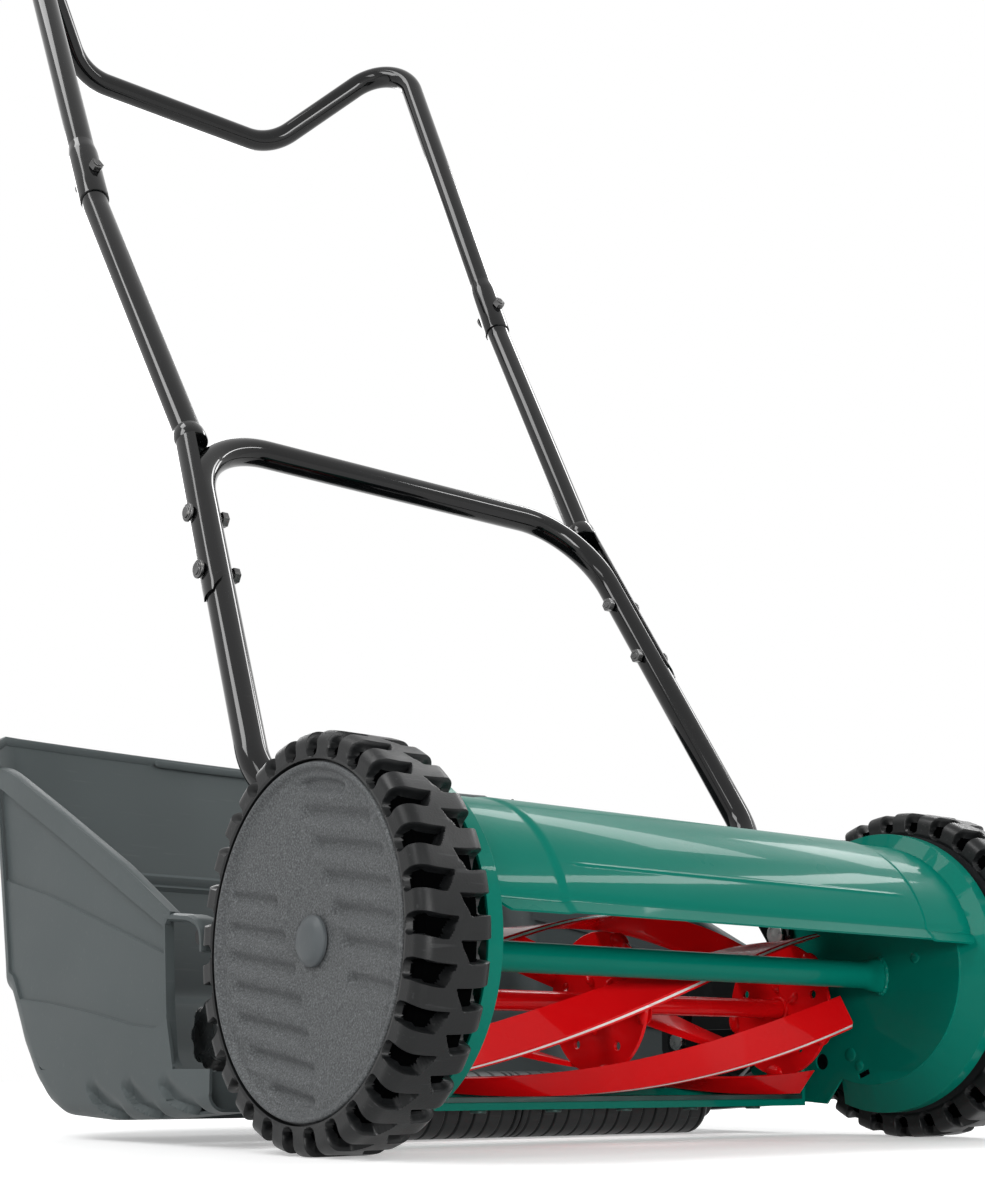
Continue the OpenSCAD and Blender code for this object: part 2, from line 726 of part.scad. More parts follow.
module roller_half_tube(s) {
  w = roller_half - 0.75;
  color([0.14, 0.15, 0.16]) mirrored(s) spin_x(0.75, roller) rotate_extrude()
    polygon([[roller_axle_r + run, 0], [roller_r - 1, 0], [roller_r, 1], [roller_r, w - 2],
      [roller_r - 2, w], [roller_axle_r + run, w], [roller_axle_r + run, w - 5],
      [roller_r - 3, w - 5], [roller_r - 3, 5], [roller_axle_r + run, 5]]);
}

module roller_clips() {
  color([0.5, 0.5, 0.52]) for (s = [-1, 1]) mirrored(s)
    ring_x(roller_half + air, arm_in - air, roller, roller_axle_r + press, 9);
}

// Height knob: a scalloped hand knob that clamps the arm through the carrier's slot
module height_knob(s) {
  lobes = 8;
  color([0.05, 0.05, 0.06]) mirrored(s) spin_x(knob_in, knob) difference() {
    rotate_extrude() polygon([[knob_bolt_r + press, 0], [knob_r - 3, 0], [knob_r, 3],
      [knob_r, knob_t - 5], [knob_r - 5, knob_t], [0, knob_t], [0, knob_t - 4],
      [knob_bolt_r + press, knob_t - 4]]);
    for (i = [0:lobes - 1]) rotate([0, 0, 360 / lobes * (i + 0.5)])
      translate([knob_r + 3.5, 0, 5]) cylinder(h = knob_t, r = 6, $fn = 32);
  }
}

module knob_bolt(s) {
  color([0.7, 0.72, 0.73]) mirrored(s) {
    rod_x(arm_in - 3, arm_in - face, knob, 7);
    rod_x(arm_in - 1, knob_in + knob_t - 4.5, knob, knob_bolt_r);
  }
}

// Handle
black = [0.03, 0.03, 0.035];
tube_in = tube_r - tube_wall;
tongue_dir = unit([0, leg_bend.y - handle_y, leg_bend.z - handle_z]);
leg_start = [tongue_x, handle_y, handle_z] + 42 * tongue_dir;
leg_line = unit(leg_slope);
top_line = unit(corner - joint);
bolt_line = unit(cross(top_line, [1, 0, 0]));

function leg_at(z) = leg_bend + (z - leg_bend.z) * leg_slope;

module leg_bolt_holes(s) {
  for (z = leg_bolts) mirrored(s)
    rod_x(leg_at(z).x - 30, leg_at(z).x + 30, [leg_at(z).y, z], bolt_r + press);
}

module lower_handle() {
  right = [leg_start, leg_bend, crossbar];
  left = [for (i = [2:-1:0]) flip(right[i], -1)];
  color(black) difference() {
    union() {
      bent_tube(concat(right, left), [60, crossbar_bend, crossbar_bend, 60], tube_r, tube_in);
      for (s = [-1, 1]) mirrored(s)
        translate([tongue_x - tongue_t / 2, handle_y, handle_z])
          rotate([-atan2(tongue_dir.y, tongue_dir.z), 0, 0]) {
            translate([0, -13, 0]) cube([tongue_t, 26, 48]);
            rotate([90, 0, 90]) cylinder(h = tongue_t, r = 13);
          }
    }
    for (s = [-1, 1]) {
      leg_bolt_holes(s);
      mirrored(s) rod_x(tongue_x - 10, tongue_x + 10, handle_pivot, pivot_r + run);
    }
  }
}

// Middle tube: its lower end is pressed into a channel that hugs the leg from outside
module middle_tube(s) {
  ri = tube_r + channel_gap;
  ro = ri + channel_wall;
  color(black) mirrored(s) difference() {
    union() {
      bent_tube([channel_high, joint, joint + 60 * top_line], [90], tube_r, tube_in);
      multmatrix(frame(channel_low, leg_slope, [1, 0, 0]))
        linear_extrude(norm(channel_high - channel_low) + 4) difference() {
          circle(ro);
          circle(ri);
          translate([-2 * ro, -2 * ro]) square([2 * ro + 2, 4 * ro]);
        }
      multmatrix(frame(channel_high, joint - channel_high, [1, 0, 0]))
        translate([0, 0, -0.5]) pipe(10, ro, tube_in + 0.3);
    }
    leg_bolt_holes(1);
    multmatrix(frame(joint + sleeve_bolt * top_line, bolt_line, [1, 0, 0]))
      translate([0, 0, -30]) cylinder(h = 60, r = bolt_r + press);
  }
}

module top_handle() {
  right = [joint + sleeve_high * top_line, corner, valley];
  left = [for (i = [2:-1:0]) flip(right[i], -1)];
  ri = tube_r + run;
  color(black) difference() {
    union() {
      bent_tube(concat(right, left), [45, 60, 60, 45], tube_r, tube_in);
      for (s = [-1, 1]) mirrored(s)
        multmatrix(frame(joint + sleeve_low * top_line, top_line, [1, 0, 0])) difference() {
          cylinder(h = sleeve_end - sleeve_low, r = ri + sleeve_wall);
          translate([0, 0, -1]) cylinder(h = sleeve_end - sleeve_low - 5, r = ri);
          cylinder(h = sleeve_end, r = tube_in + 0.3);
        }
    }
    for (s = [-1, 1]) mirrored(s)
      multmatrix(frame(joint + sleeve_bolt * top_line, bolt_line, [1, 0, 0]))
        translate([0, 0, -30]) cylinder(h = 60, r = bolt_r + press);
  }
}

module middle_tube_bolts() {
  color([0.75, 0.77, 0.78]) for (s = [-1, 1], z = leg_bolts) mirrored(s) {
    p = leg_at(z);
    x = p.x + tube_r + channel_gap + channel_wall + leg_lean_gap;
    rod_x(p.x - tube_r - 6, x + 1, [p.y, z], bolt_r);
    rod_x(x + face, x + 2.4, [p.y, z], bolt_head_r);
    rod_x(x + 2.3, x + 4, [p.y, z], bolt_head_r - 2.5);
  }
}

module middle_tube_nuts() {
  color([0.75, 0.77, 0.78]) for (s = [-1, 1], z = leg_bolts) mirrored(s) {
    p = leg_at(z);
    x = p.x - tube_r - leg_lean_gap;
    difference() {
      hex_x(x - 5, x, [p.y, z], nut_r);
      rod_x(x - 6, x + 1, [p.y, z], bolt_r + press);
    }
  }
}

module grip_bolts() {
  r = tube_r + run + sleeve_wall;
  color([0.75, 0.77, 0.78]) for (s = [-1, 1]) mirrored(s)
    multmatrix(frame(joint + sleeve_bolt * top_line, bolt_line, [1, 0, 0])) {
      translate([0, 0, -r - 6]) cylinder(h = 2 * r + 7, r = bolt_r);
      translate([0, 0, r + face]) cylinder(h = 2.4, r = bolt_head_r);
      translate([0, 0, r + 2.4]) cylinder(h = 1.6, r = bolt_head_r - 2.5);
    }
}

module grip_nuts() {
  r = tube_r + run + sleeve_wall;
  color([0.75, 0.77, 0.78]) for (s = [-1, 1]) mirrored(s)
    multmatrix(frame(joint + sleeve_bolt * top_line, bolt_line, [1, 0, 0]))
      translate([0, 0, -r - face - 5]) difference() {
        cylinder(h = 5, r = nut_r, $fn = 6);
        translate([0, 0, -1]) cylinder(h = 7, r = bolt_r + press);
      }
}

module handle_pivots() {
  color([0.7, 0.72, 0.73]) for (s = [-1, 1]) mirrored(s) {
    rod_x(tongue_x - tongue_t / 2 - 3.3, tongue_x - tongue_t / 2 - air, handle_pivot, 8);
    rod_x(tongue_x - tongue_t / 2 - 1, plate_x + 3, handle_pivot, pivot_r);
    rod_x(plate_x + face, plate_x + 4, handle_pivot, 8);
  }
}

// Grass box: a thin moulded tub that hangs by hooks on the carriers' pegs
function inward(p, q) = unit([-(q - p).y, (q - p).x]);
function normal_at(c, i) =
  unit(inward(c[max(0, i - 1)], c[max(1, i)]) + inward(c[min(i, len(c) - 2)],
    c[min(i + 1, len(c) - 1)]));

module box_sheet() {
  inner = [for (i = [len(box_curve) - 1:-1:0])
    box_curve[i] + box_wall * normal_at(box_curve, i)];
  polygon(concat(box_curve, inner));
}

module box_side() {
  polygon(concat([[box_side_front, 22], [182, 18]], box_curve, [box_rim_rear, box_rim_front],
    [[141, 148], [133, 134], [137, 131], [145, 139.5], [184, 139.5], [167, box_notch_z],
    [box_side_front, box_notch_z]]));
}

module grass_box() {
  inset = 0.5;
  color([0.24, 0.28, 0.28]) union() {
    along_x(-box_half, 2 * box_half) box_sheet();
    for (s = [-1, 1]) mirrored(s) {
      along_x(box_half - box_wall, box_wall) box_side();
      // Turned-in rim along the sloping top edge
      along_x(box_half - box_rim_w, box_rim_w - inset)
        bar2d(box_rim_front + [3, -1], box_rim_rear + [0, -2], box_wall);
      // Skirt beside the roller
      along_x(box_skirt_x + 1, box_half - box_skirt_x - 1 - inset)
        polygon([[box_side_front + inset, 22.4], [182, 18.4], [box_floor_y + 5, 16.4],
          [box_floor_y + 5, 18.4], [182, 18.4 + box_wall], [box_side_front + inset,
          22.4 + box_wall]]);
      along_x(box_skirt_x + 1 + inset, box_wall)
        polygon([[box_side_front + 2 * inset, 23], [182, 19], [box_floor_y + 1.5, 17],
          [box_floor_y + 1.5, box_notch_z], [box_side_front + 2 * inset, box_notch_z]]);
      // Hook over the peg
      along_x(box_half - 8, 8 - inset)
        polygon([[141.5, 147], [134.2, 134.3], [137, 132], [144.8, 140.2], [183, 140.2],
          [183, 147]]);
    }
    along_x(-box_skirt_x - 2, 2 * box_skirt_x + 4)
      polygon([[box_floor_y + 0.2, 17], [box_floor_y + 2.2, 17], [box_floor_y + 2.2, 44],
        [box_floor_y + 0.2, 44]]);
    along_x(-box_half + inset, 2 * (box_half - inset))
      polygon([[box_rear - 3, box_top - 3], [box_rear + 8, box_top - 3],
        [box_rear + 8, box_top - inset], [box_rear - 3, box_top - inset]]);
  }
}

side_plate(-1);  // side_plate_left
side_plate(1);  // side_plate_right
tie_bar();
shroud_drilled();  // shroud
shroud_rivets();
bedknife_bar();
bedknife();
bedknife_screws();
reel_shaft();
reel_disc(-disc_x);  // reel_disc_left
reel_disc(0);  // reel_disc_middle
reel_disc(disc_x);  // reel_disc_right
reel_blade(0);  // reel_blade_1
reel_blade(1);  // reel_blade_2
reel_blade(2);  // reel_blade_3
reel_blade(3);  // reel_blade_4
reel_blade(4);  // reel_blade_5
reel_bearing(-1);  // reel_bearing_left
reel_bearing(1);  // reel_bearing_right
pinion(-1);  // pinion_left
pinion(1);  // pinion_right
ratchet_key(-1);  // ratchet_key_left
ratchet_key(1);  // ratchet_key_right
pinion_circlips();
wheel(-1);  // wheel_left
wheel(1);  // wheel_right
tyre(-1);  // tyre_left
tyre(1);  // tyre_right
wheel_cover(-1);  // wheel_cover_left
wheel_cover(1);  // wheel_cover_right
wheel_cap(-1);  // wheel_cap_left
wheel_cap(1);  // wheel_cap_right
axle_pin(-1);  // axle_left
axle_pin(1);  // axle_right
axle_nut(-1);  // axle_nut_left
axle_nut(1);  // axle_nut_right
rear_carrier(-1);  // rear_carrier_left
rear_carrier(1);  // rear_carrier_right
carrier_screws();
roller_arm(-1);  // roller_arm_left
roller_arm(1);  // roller_arm_right
roller_arm_pivots();
roller_axle();
roller_half_tube(-1);  // roller_left
roller_half_tube(1);  // roller_right
roller_clips();
height_knob(-1);  // height_knob_left
height_knob(1);  // height_knob_right
knob_bolt(-1);  // knob_bolt_left
knob_bolt(1);  // knob_bolt_right
lower_handle();
middle_tube(-1);  // middle_tube_left
middle_tube(1);  // middle_tube_right
top_handle();
middle_tube_bolts();
middle_tube_nuts();
grip_bolts();
grip_nuts();
handle_pivots();
grass_box();
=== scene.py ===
# A push reel mower with a rear roller and a grass box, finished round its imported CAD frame.
# Lengths are in millimetres until they go into a mesh. X is across, -Y the front, +Z up.
import math

import bmesh
import bpy
import numpy as np
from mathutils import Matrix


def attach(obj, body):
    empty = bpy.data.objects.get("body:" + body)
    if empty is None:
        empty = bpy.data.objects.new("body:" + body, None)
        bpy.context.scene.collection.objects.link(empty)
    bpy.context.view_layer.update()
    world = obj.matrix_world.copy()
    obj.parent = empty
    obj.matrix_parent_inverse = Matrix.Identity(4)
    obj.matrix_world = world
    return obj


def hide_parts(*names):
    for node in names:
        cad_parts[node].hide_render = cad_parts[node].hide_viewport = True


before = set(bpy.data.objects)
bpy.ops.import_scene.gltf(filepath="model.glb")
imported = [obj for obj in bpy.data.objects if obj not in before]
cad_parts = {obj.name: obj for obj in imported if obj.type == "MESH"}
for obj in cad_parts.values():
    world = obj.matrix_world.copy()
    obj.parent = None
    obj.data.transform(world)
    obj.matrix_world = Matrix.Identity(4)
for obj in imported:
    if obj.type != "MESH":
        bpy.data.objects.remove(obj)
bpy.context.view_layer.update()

# Studio: a pale floor under soft light from both sides, and a camera near the ground that
# looks up at the mower from its front left.
camera_data = bpy.data.cameras.new("studio_camera")
camera_data.lens = 51.41
camera_data.shift_y = 0.1833
camera = bpy.data.objects.new("studio_camera", camera_data)
camera.location = (-0.7801, -0.8302, 0.0451)
camera.rotation_euler = (math.radians(90 + 8.468), 0, math.radians(-37.492))
bpy.context.collection.objects.link(camera)
bpy.context.scene.camera = camera
bpy.context.scene.view_settings.view_transform = "Standard"


def soft_lamp(name, place, target, width, height, power):
    """A soft box of width and height in metres at place, facing target."""
    data = bpy.data.lights.new(name, "AREA")
    data.shape = "RECTANGLE"
    data.size, data.size_y = width, height
    data.energy = power
    lamp = bpy.data.objects.new(name, data)
    lamp.location = place
    away = np.array(place, float) - np.array(target, float)
    lamp.rotation_euler = (
        math.atan2(math.hypot(away[0], away[1]), away[2]), 0,
        math.atan2(away[1], away[0]) + math.pi / 2)
    bpy.context.collection.objects.link(lamp)


soft_lamp("key", (-2.5, -0.8, 1.5), (0, 0.1, 0.3), 0.5, 1.2, 12)
soft_lamp("side", (-2.0, 0.55, 2.05), (-0.2, 0.3, 0.5), 0.8, 1.0, 22)
soft_lamp("over", (-1.25, 0.95, 2.7), (-0.2, 0.6, 0.9), 0.8, 0.8, 14)
soft_lamp("front", (-0.7, -2.5, 0.45), (0, 0.1, 0.15), 1.3, 0.6, 36)
soft_lamp("fill", (1.7, -0.8, 1.75), (0, 0, 0.15), 1.5, 0.14, 14)
soft_lamp("near", (1.29, 0.52, 1.72), (0, 0, 0.2), 1.05, 0.22, 7)
soft_lamp("far", (1.77, 0.5, 1.5), (0, 0, 0.2), 0.65, 0.2, 4)
soft_lamp("rear", (0.4, 2.6, 1.5), (0, 0.3, 0.3), 1.2, 0.8, 12)


def shader(name):
    """A new node material and its Principled shader."""
    made = bpy.data.materials.new(name)
    made.use_nodes = True
    return made, made.node_tree.nodes["Principled BSDF"]


def spread(tree, value, low, high, to_low, to_high):
    """The value between low and high, spread evenly over to_low to to_high."""
    node = tree.nodes.new("ShaderNodeMapRange")
    for socket, number in zip(node.inputs[1:5], (low, high, to_low, to_high)):
        socket.default_value = number
    tree.links.new(value, node.inputs[0])
    return node.outputs[0]


def shown_level(tree, spread_level, seen_level):
    """The strength spread_level for light that is scattered, and seen_level for what the
    camera, mirrors and glass see."""
    path = tree.nodes.new("ShaderNodeLightPath")
    seen = path.outputs["Is Camera Ray"]
    for kind in ("Is Glossy Ray", "Is Transmission Ray"):
        either = tree.nodes.new("ShaderNodeMath")
        either.operation = "MAXIMUM"
        tree.links.new(seen, either.inputs[0])
        tree.links.new(path.outputs[kind], either.inputs[1])
        seen = either.outputs[0]
    return spread(tree, seen, 0, 1, spread_level, seen_level)


world = bpy.data.worlds.new("studio_world")
bpy.context.scene.world = world
world.use_nodes = True
tree = world.node_tree
tree.links.new(shown_level(tree, 0.24, 1.0), tree.nodes["Background"].inputs["Strength"])
tree.nodes["Background"].inputs["Color"].default_value = (1, 1, 1, 1)

floor_mesh = bpy.data.meshes.new("floor")
reach = 9.0
floor_mesh.from_pydata([(-reach, -reach, 0), (reach, -reach, 0), (reach, reach, 0),
                        (-reach, reach, 0)], [], [(0, 1, 2, 3)])
floor = bpy.data.objects.new("floor", floor_mesh)
bpy.context.collection.objects.link(floor)
floor_paint, floor_shader = shader("floor_white")
floor_shader.inputs["Base Color"].default_value = (0.86, 0.86, 0.86, 1)
floor_shader.inputs["Roughness"].default_value = 0.7
floor_shader.inputs["Emission Color"].default_value = (1, 1, 1, 1)
tree = floor_paint.node_tree
far = tree.nodes.new("ShaderNodeVectorMath")
far.operation = "LENGTH"
tree.links.new(tree.nodes.new("ShaderNodeTexCoord").outputs["Object"], far.inputs[0])
lit = tree.nodes.new("ShaderNodeMath")
lit.operation = "MULTIPLY"
tree.links.new(spread(tree, far.outputs["Value"], 1.0, 3.2, 0.36, 0.9), lit.inputs[0])
tree.links.new(shown_level(tree, 0.0, 1.0), lit.inputs[1])
tree.links.new(lit.outputs[0], floor_shader.inputs["Emission Strength"])
floor_mesh.materials.append(floor_paint)


# Side plates: two dished steel pressings, stoved in gloss green, that carry everything else.
# They stand on the stub axles, and the tie bar is welded between them in front of the reel.
def noise(tree, scale, detail, source):
    """Noise of so many waves in a metre."""
    node = tree.nodes.new("ShaderNodeTexNoise")
    node.inputs["Scale"].default_value = scale
    node.inputs["Detail"].default_value = detail
    tree.links.new(source, node.inputs["Vector"])
    return node.outputs["Fac"]


def finish(name, colour, rough, vary=0.08, blotch=6.0, gloss=0.04, grain=400.0, rise=0.00003,
           rub=0.0, rub_colour=(0.4, 0.4, 0.4), metal=0.0, shine=0.2, coat=0.0):
    """A surface whose colour and gloss wander with slow noise. Fine noise stands rise metres
    high, and where noise stretched along X passes a limit the surface is rubbed. shine sets
    how much of the light is mirrored, where 0.5 is bare glass."""
    made, skin = shader(name)
    tree = made.node_tree
    spot = tree.nodes.new("ShaderNodeTexCoord").outputs["Object"]

    def blend(amount, first, second):
        """A mix of two colours, each a socket or a plain colour."""
        node = tree.nodes.new("ShaderNodeMix")
        node.data_type = "RGBA"
        tree.links.new(amount, node.inputs[0])
        for socket, tint in zip((node.inputs[6], node.inputs[7]), (first, second)):
            if isinstance(tint, tuple):
                socket.default_value = (*tint, 1)
            else:
                tree.links.new(tint, socket)
        return node.outputs[2]

    slow = spread(tree, noise(tree, blotch, 3, spot), 0.3, 0.7, 0, 1)
    shade = blend(slow, tuple(c * (1 - vary) for c in colour),
                  tuple(min(1, c * (1 + vary)) for c in colour))
    uneven = noise(tree, blotch * 4, 4, spot)
    polish = spread(tree, uneven, 0.3, 0.7, max(0.02, rough - gloss), rough + gloss)
    if rub:
        turn = tree.nodes.new("ShaderNodeMapping")
        turn.inputs["Rotation"].default_value = (0.5, 0.3, 0.4)
        turn.inputs["Scale"].default_value = (1, 14, 14)
        tree.links.new(spot, turn.inputs["Vector"])
        streak = spread(tree, noise(tree, 22, 5, turn.outputs[0]), 0.63, 0.7, 0, rub)
        shade = blend(streak, shade, rub_colour)
    tree.links.new(shade, skin.inputs["Base Color"])
    tree.links.new(polish, skin.inputs["Roughness"])
    skin.inputs["Metallic"].default_value = metal
    skin.inputs["Specular IOR Level"].default_value = 0.5 if metal else shine
    skin.inputs["Coat Weight"].default_value = coat
    skin.inputs["Coat Roughness"].default_value = 0.035
    bump = tree.nodes.new("ShaderNodeBump")
    bump.inputs["Distance"].default_value = rise
    tree.links.new(noise(tree, grain, 2, spot), bump.inputs["Height"])
    tree.links.new(bump.outputs[0], skin.inputs["Normal"])
    return made


def settle(name, body, mesh, paints, nodes, corner):
    """Makes an object of the mesh, with edges sharper than corner degrees kept crisp. It
    rides on body, takes the paints and stands for the CAD nodes, which it hides."""
    for paint in paints:
        mesh.materials.append(paint)
    mesh.shade_smooth()
    mesh.set_sharp_from_angle(angle=math.radians(corner))
    piece = bpy.data.objects.new(name, mesh)
    bpy.context.collection.objects.link(piece)
    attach(piece, body)
    if nodes:
        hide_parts(*nodes)
    return piece


def eased(name, body, slot, paint, *nodes, width=0.4, rounds=2):
    """The CAD nodes' own shape with its edges rounded over width millimetres."""
    work = bmesh.new()
    for node in nodes:
        work.from_mesh(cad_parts[node].data)
    bmesh.ops.remove_doubles(work, verts=work.verts, dist=2e-6)
    bmesh.ops.dissolve_limit(work, angle_limit=0.01, verts=work.verts, edges=work.edges)
    mesh = bpy.data.meshes.new(name)
    work.to_mesh(mesh)
    work.free()
    piece = settle(name, body, mesh, [paint], nodes, 30)
    bevel = piece.modifiers.new("eased_edges", "BEVEL")
    bevel.width = width / 1000
    bevel.segments = rounds
    bevel.limit_method = "ANGLE"
    bevel.angle_limit = math.radians(30)
    bevel.use_clamp_overlap = True
    bevel.harden_normals = True


def circle(count):
    """So many even angles round a circle, in radians."""
    return np.linspace(0, 2 * np.pi, count, endpoint=False)


def laid(x, y, z):
    """A grid of points from its x, y and z, each of them spread over its rows and columns."""
    return np.stack(np.broadcast_arrays(x, y, z), -1)


def smooth(value, low, high):
    """An even S from 0 at low to 1 at high: three times the square of the part of the way
    from low to high, less twice its cube."""
    part = np.clip((value - low) / (high - low), 0, 1)
    return part * part * (3 - 2 * part)


def quads(index):
    """The four-cornered faces between the neighbours of a grid of point numbers."""
    corners = (index[:-1, :-1], index[:-1, 1:], index[1:, 1:], index[1:, :-1])
    return np.stack(corners, -1).reshape(-1, 4)


def formed(name, body, slot, paints, parts, *nodes, corner=38, marks=None):
    """One piece from parts, each an array of points in millimetres and arrays of its faces.
    The faces are turned outwards, and marks gives each face's paint."""
    starts = np.cumsum([0] + [len(points) for points, faces in parts])
    points = np.concatenate([points for points, faces in parts]) / 1000
    faces = []
    for (_, groups), start in zip(parts, starts):
        for group in groups:
            faces.extend((group + start).tolist())
    mesh = bpy.data.meshes.new(name)
    mesh.from_pydata(points.tolist(), [], faces)
    if marks is not None:
        mesh.polygons.foreach_set("material_index", np.asarray(marks, np.int32))
    work = bmesh.new()
    work.from_mesh(mesh)
    bmesh.ops.recalc_face_normals(work, faces=work.faces)
    work.to_mesh(mesh)
    work.free()
    settle(name, body, mesh, paints, nodes, corner)


def closed_grid(points):
    """Points and faces of a grid that closes on itself along both of its sides."""
    rows, columns = points.shape[:2]
    index = np.arange(rows * columns).reshape(rows, columns)
    index = np.pad(index, ((0, 1), (0, 1)), mode="wrap")
    return points.reshape(-1, 3), [quads(index)]


def capped_tube(points):
    """Points and faces of a grid of rings, rows along it, whose two ends are filled."""
    rows, columns = points.shape[:2]
    index = np.arange(rows * columns).reshape(rows, columns)
    sides = quads(np.pad(index, ((0, 0), (0, 1)), mode="wrap"))
    ends = np.mean(points[[0, -1]], axis=1)
    low = np.stack([index[0], np.roll(index[0], -1), np.full(columns, rows * columns)], -1)
    high = np.stack([np.roll(index[-1], -1), index[-1],
                     np.full(columns, rows * columns + 1)], -1)
    return np.concatenate([points.reshape(-1, 3), ends]), [sides, low, high]


def dome(centre, along, across, out, sides=20, rings=6):
    """A low rounded pad: an ellipse of half sizes along and across, raised by out. Its height
    falls off as the cosine from the middle to the rim."""
    turn = circle(sides)
    fall = np.linspace(0.02, np.pi / 2, rings)
    wide = np.sin(fall)[:, None, None]
    ring = np.cos(turn)[:, None] * np.asarray(along) + np.sin(turn)[:, None] * np.asarray(across)
    height = np.cos(fall)[:, None, None] * np.asarray(out) * np.ones((1, sides, 1))
    return capped_tube(np.asarray(centre) + wide * ring + height)


green_paint = finish("green_stoved_paint", (0.0008, 0.156, 0.113), 0.3, vary=0.06, blotch=4,
                     grain=150, rise=0.00006, shine=0.02, coat=0.13)
for side, end in (("left", -1), ("right", 1)):
    eased("side_plate_" + side, "frame", "green_paint", green_paint, "side_plate_" + side,
          width=0.9, rounds=3)

inner_face = 202
tie_y, tie_z, tie_r = -13.3, 116.1, 9.5
tie_x = np.concatenate([np.linspace(-inner_face, -176, 14), np.linspace(-170, 170, 24),
                        np.linspace(176, inner_face, 14)])
crush = smooth(np.abs(tie_x), 178, 198)[:, None]
around = circle(48)
tie_grid = laid(tie_x[:, None], tie_y + (1 - 0.45 * crush) * tie_r * np.cos(around),
                tie_z + (1 + 0.28 * crush) * tie_r * np.sin(around))
bead = circle(12)[:, None]
swell = 1.9 + 0.35 * np.sin(17 * around)
welds = [closed_grid(laid(end * (inner_face - 0.6 - swell * np.maximum(np.sin(bead), -0.2)),
                          tie_y + (5.4 + swell * np.cos(bead)) * np.cos(around),
                          tie_z + (12.3 + swell * np.cos(bead)) * np.sin(around)))
         for end in (-1, 1)]
formed("tie_bar", "frame", "green_paint", [green_paint], [capped_tube(tie_grid)] + welds,
       "tie_bar")
spots = [dome((end * inner_face, y, z), (0, r, 0), (0, 0, r), (-end * 0.9, 0, 0))
         for end in (-1, 1)
         for y, z, r in ((18, 60, 5), (10, 52, 4), (-30, 150, 4), (-44, 128, 4), (24, 150, 4))]
formed("plate_spot_welds", "frame", "green_paint", [green_paint], spots)


# Shroud: one thin sheet of gloss green steel over the reel, with a joggled band at each end,
# a pressed line along its front and a turned lip. Its end tabs are riveted to the plates.
def unit(way):
    """The way, or each row of ways, divided by its own length."""
    return way / np.linalg.norm(way, axis=-1, keepdims=True)


def spun(x, radius, turn, y, z):
    """Rings about a line along X through y and z. A point of the ring at x lies radius from
    the line and turn radians round it."""
    return laid(x, y + radius * np.cos(turn), z + radius * np.sin(turn))


def thin_plate(outer, inner):
    """Points and faces of a thin closed plate between two grids of the same shape."""
    rows, columns = outer.shape[:2]
    index = np.arange(rows * columns).reshape(rows, columns)
    rim = np.concatenate([index[0], index[1:, -1], index[-1, -2::-1], index[-2:0:-1, 0]])
    after = np.roll(rim, -1)
    shift = rows * columns
    edge = np.stack([rim, rim + shift, after + shift, after], -1)
    points = np.concatenate([outer.reshape(-1, 3), inner.reshape(-1, 3)])
    return points, [quads(index), quads(index[:, ::-1]) + shift, edge]


axle_z = 120
shroud_r, shroud_t, shroud_half = 92.25, 1.5, 208
lip_tip = np.array([-95.6, 135.8])
sweep_angle = np.radians(np.concatenate([np.linspace(48, 146, 50), np.linspace(147, 154, 22),
                                         np.linspace(155, 166, 14)]))
curved = np.stack([shroud_r * np.cos(sweep_angle),
                   axle_z + shroud_r * np.sin(sweep_angle)], -1)
lip_rows = 12
lip_part = np.linspace(0.06, 1, lip_rows)[:, None]
profile = np.concatenate([curved, curved[-1] + lip_part * (lip_tip - curved[-1])])
slope = np.gradient(profile, axis=0)
outward = unit(np.stack([slope[:, 1], -slope[:, 0]], -1))
across = np.unique(np.concatenate([
    np.linspace(-shroud_half, shroud_half, 90), np.linspace(154, 168, 15),
    np.linspace(-168, -154, 15), np.linspace(200, shroud_half, 6),
    np.linspace(-shroud_half, -200, 6)]))
along = np.degrees(np.concatenate([sweep_angle, np.full(lip_rows, math.radians(170))]))[:, None]
joggle = -1.3 * smooth(np.abs(across) + 0.05 * (along - 130), 158, 164)
line = (0.7 * np.exp(-((along - 150.6) / 0.55) ** 2)
        * (1 - smooth(np.abs(across + 2), 140, 146)))
fold = -0.6 * np.exp(-((along - 165) / 1.4) ** 2)
lift = joggle + line + fold
sheet = laid(across, profile[:, :1] + outward[:, :1] * lift,
             profile[:, 1:] + outward[:, 1:] * lift)
trim = np.clip((np.arange(len(profile)) - len(curved)) / lip_rows, 0, 1)[:, None]
sheet[..., 0] -= np.sign(across) * trim ** 2 * 7 * smooth(np.abs(across), 196, shroud_half)
skin_out = np.concatenate([np.zeros((len(profile), 1)), outward], 1)[:, None] * shroud_t / 2
parts = [thin_plate(sheet + skin_out, sheet - skin_out)]
tab_angle = np.radians(np.linspace(104, 162, 40))
tab_r = np.linspace(62, 91, 8)[:, None]
for end in (-1, 1):
    tab = spun(end * 200.4, tab_r, tab_angle, 0, axle_z)
    parts.append(thin_plate(tab, tab + np.array([end * shroud_t, 0, 0])))
formed("shroud", "frame", "green_paint", [green_paint], parts, "shroud", corner=30)

zinc = finish("zinc_plate", (0.5, 0.5, 0.49), 0.3, vary=0.18, blotch=40, gloss=0.08,
              grain=1500, rise=0.00002, rub=0.5, rub_colour=(0.2, 0.19, 0.18), metal=1.0)
eased("shroud_rivets", "frame", "steel", zinc, "shroud_rivets", width=0.8, rounds=3)
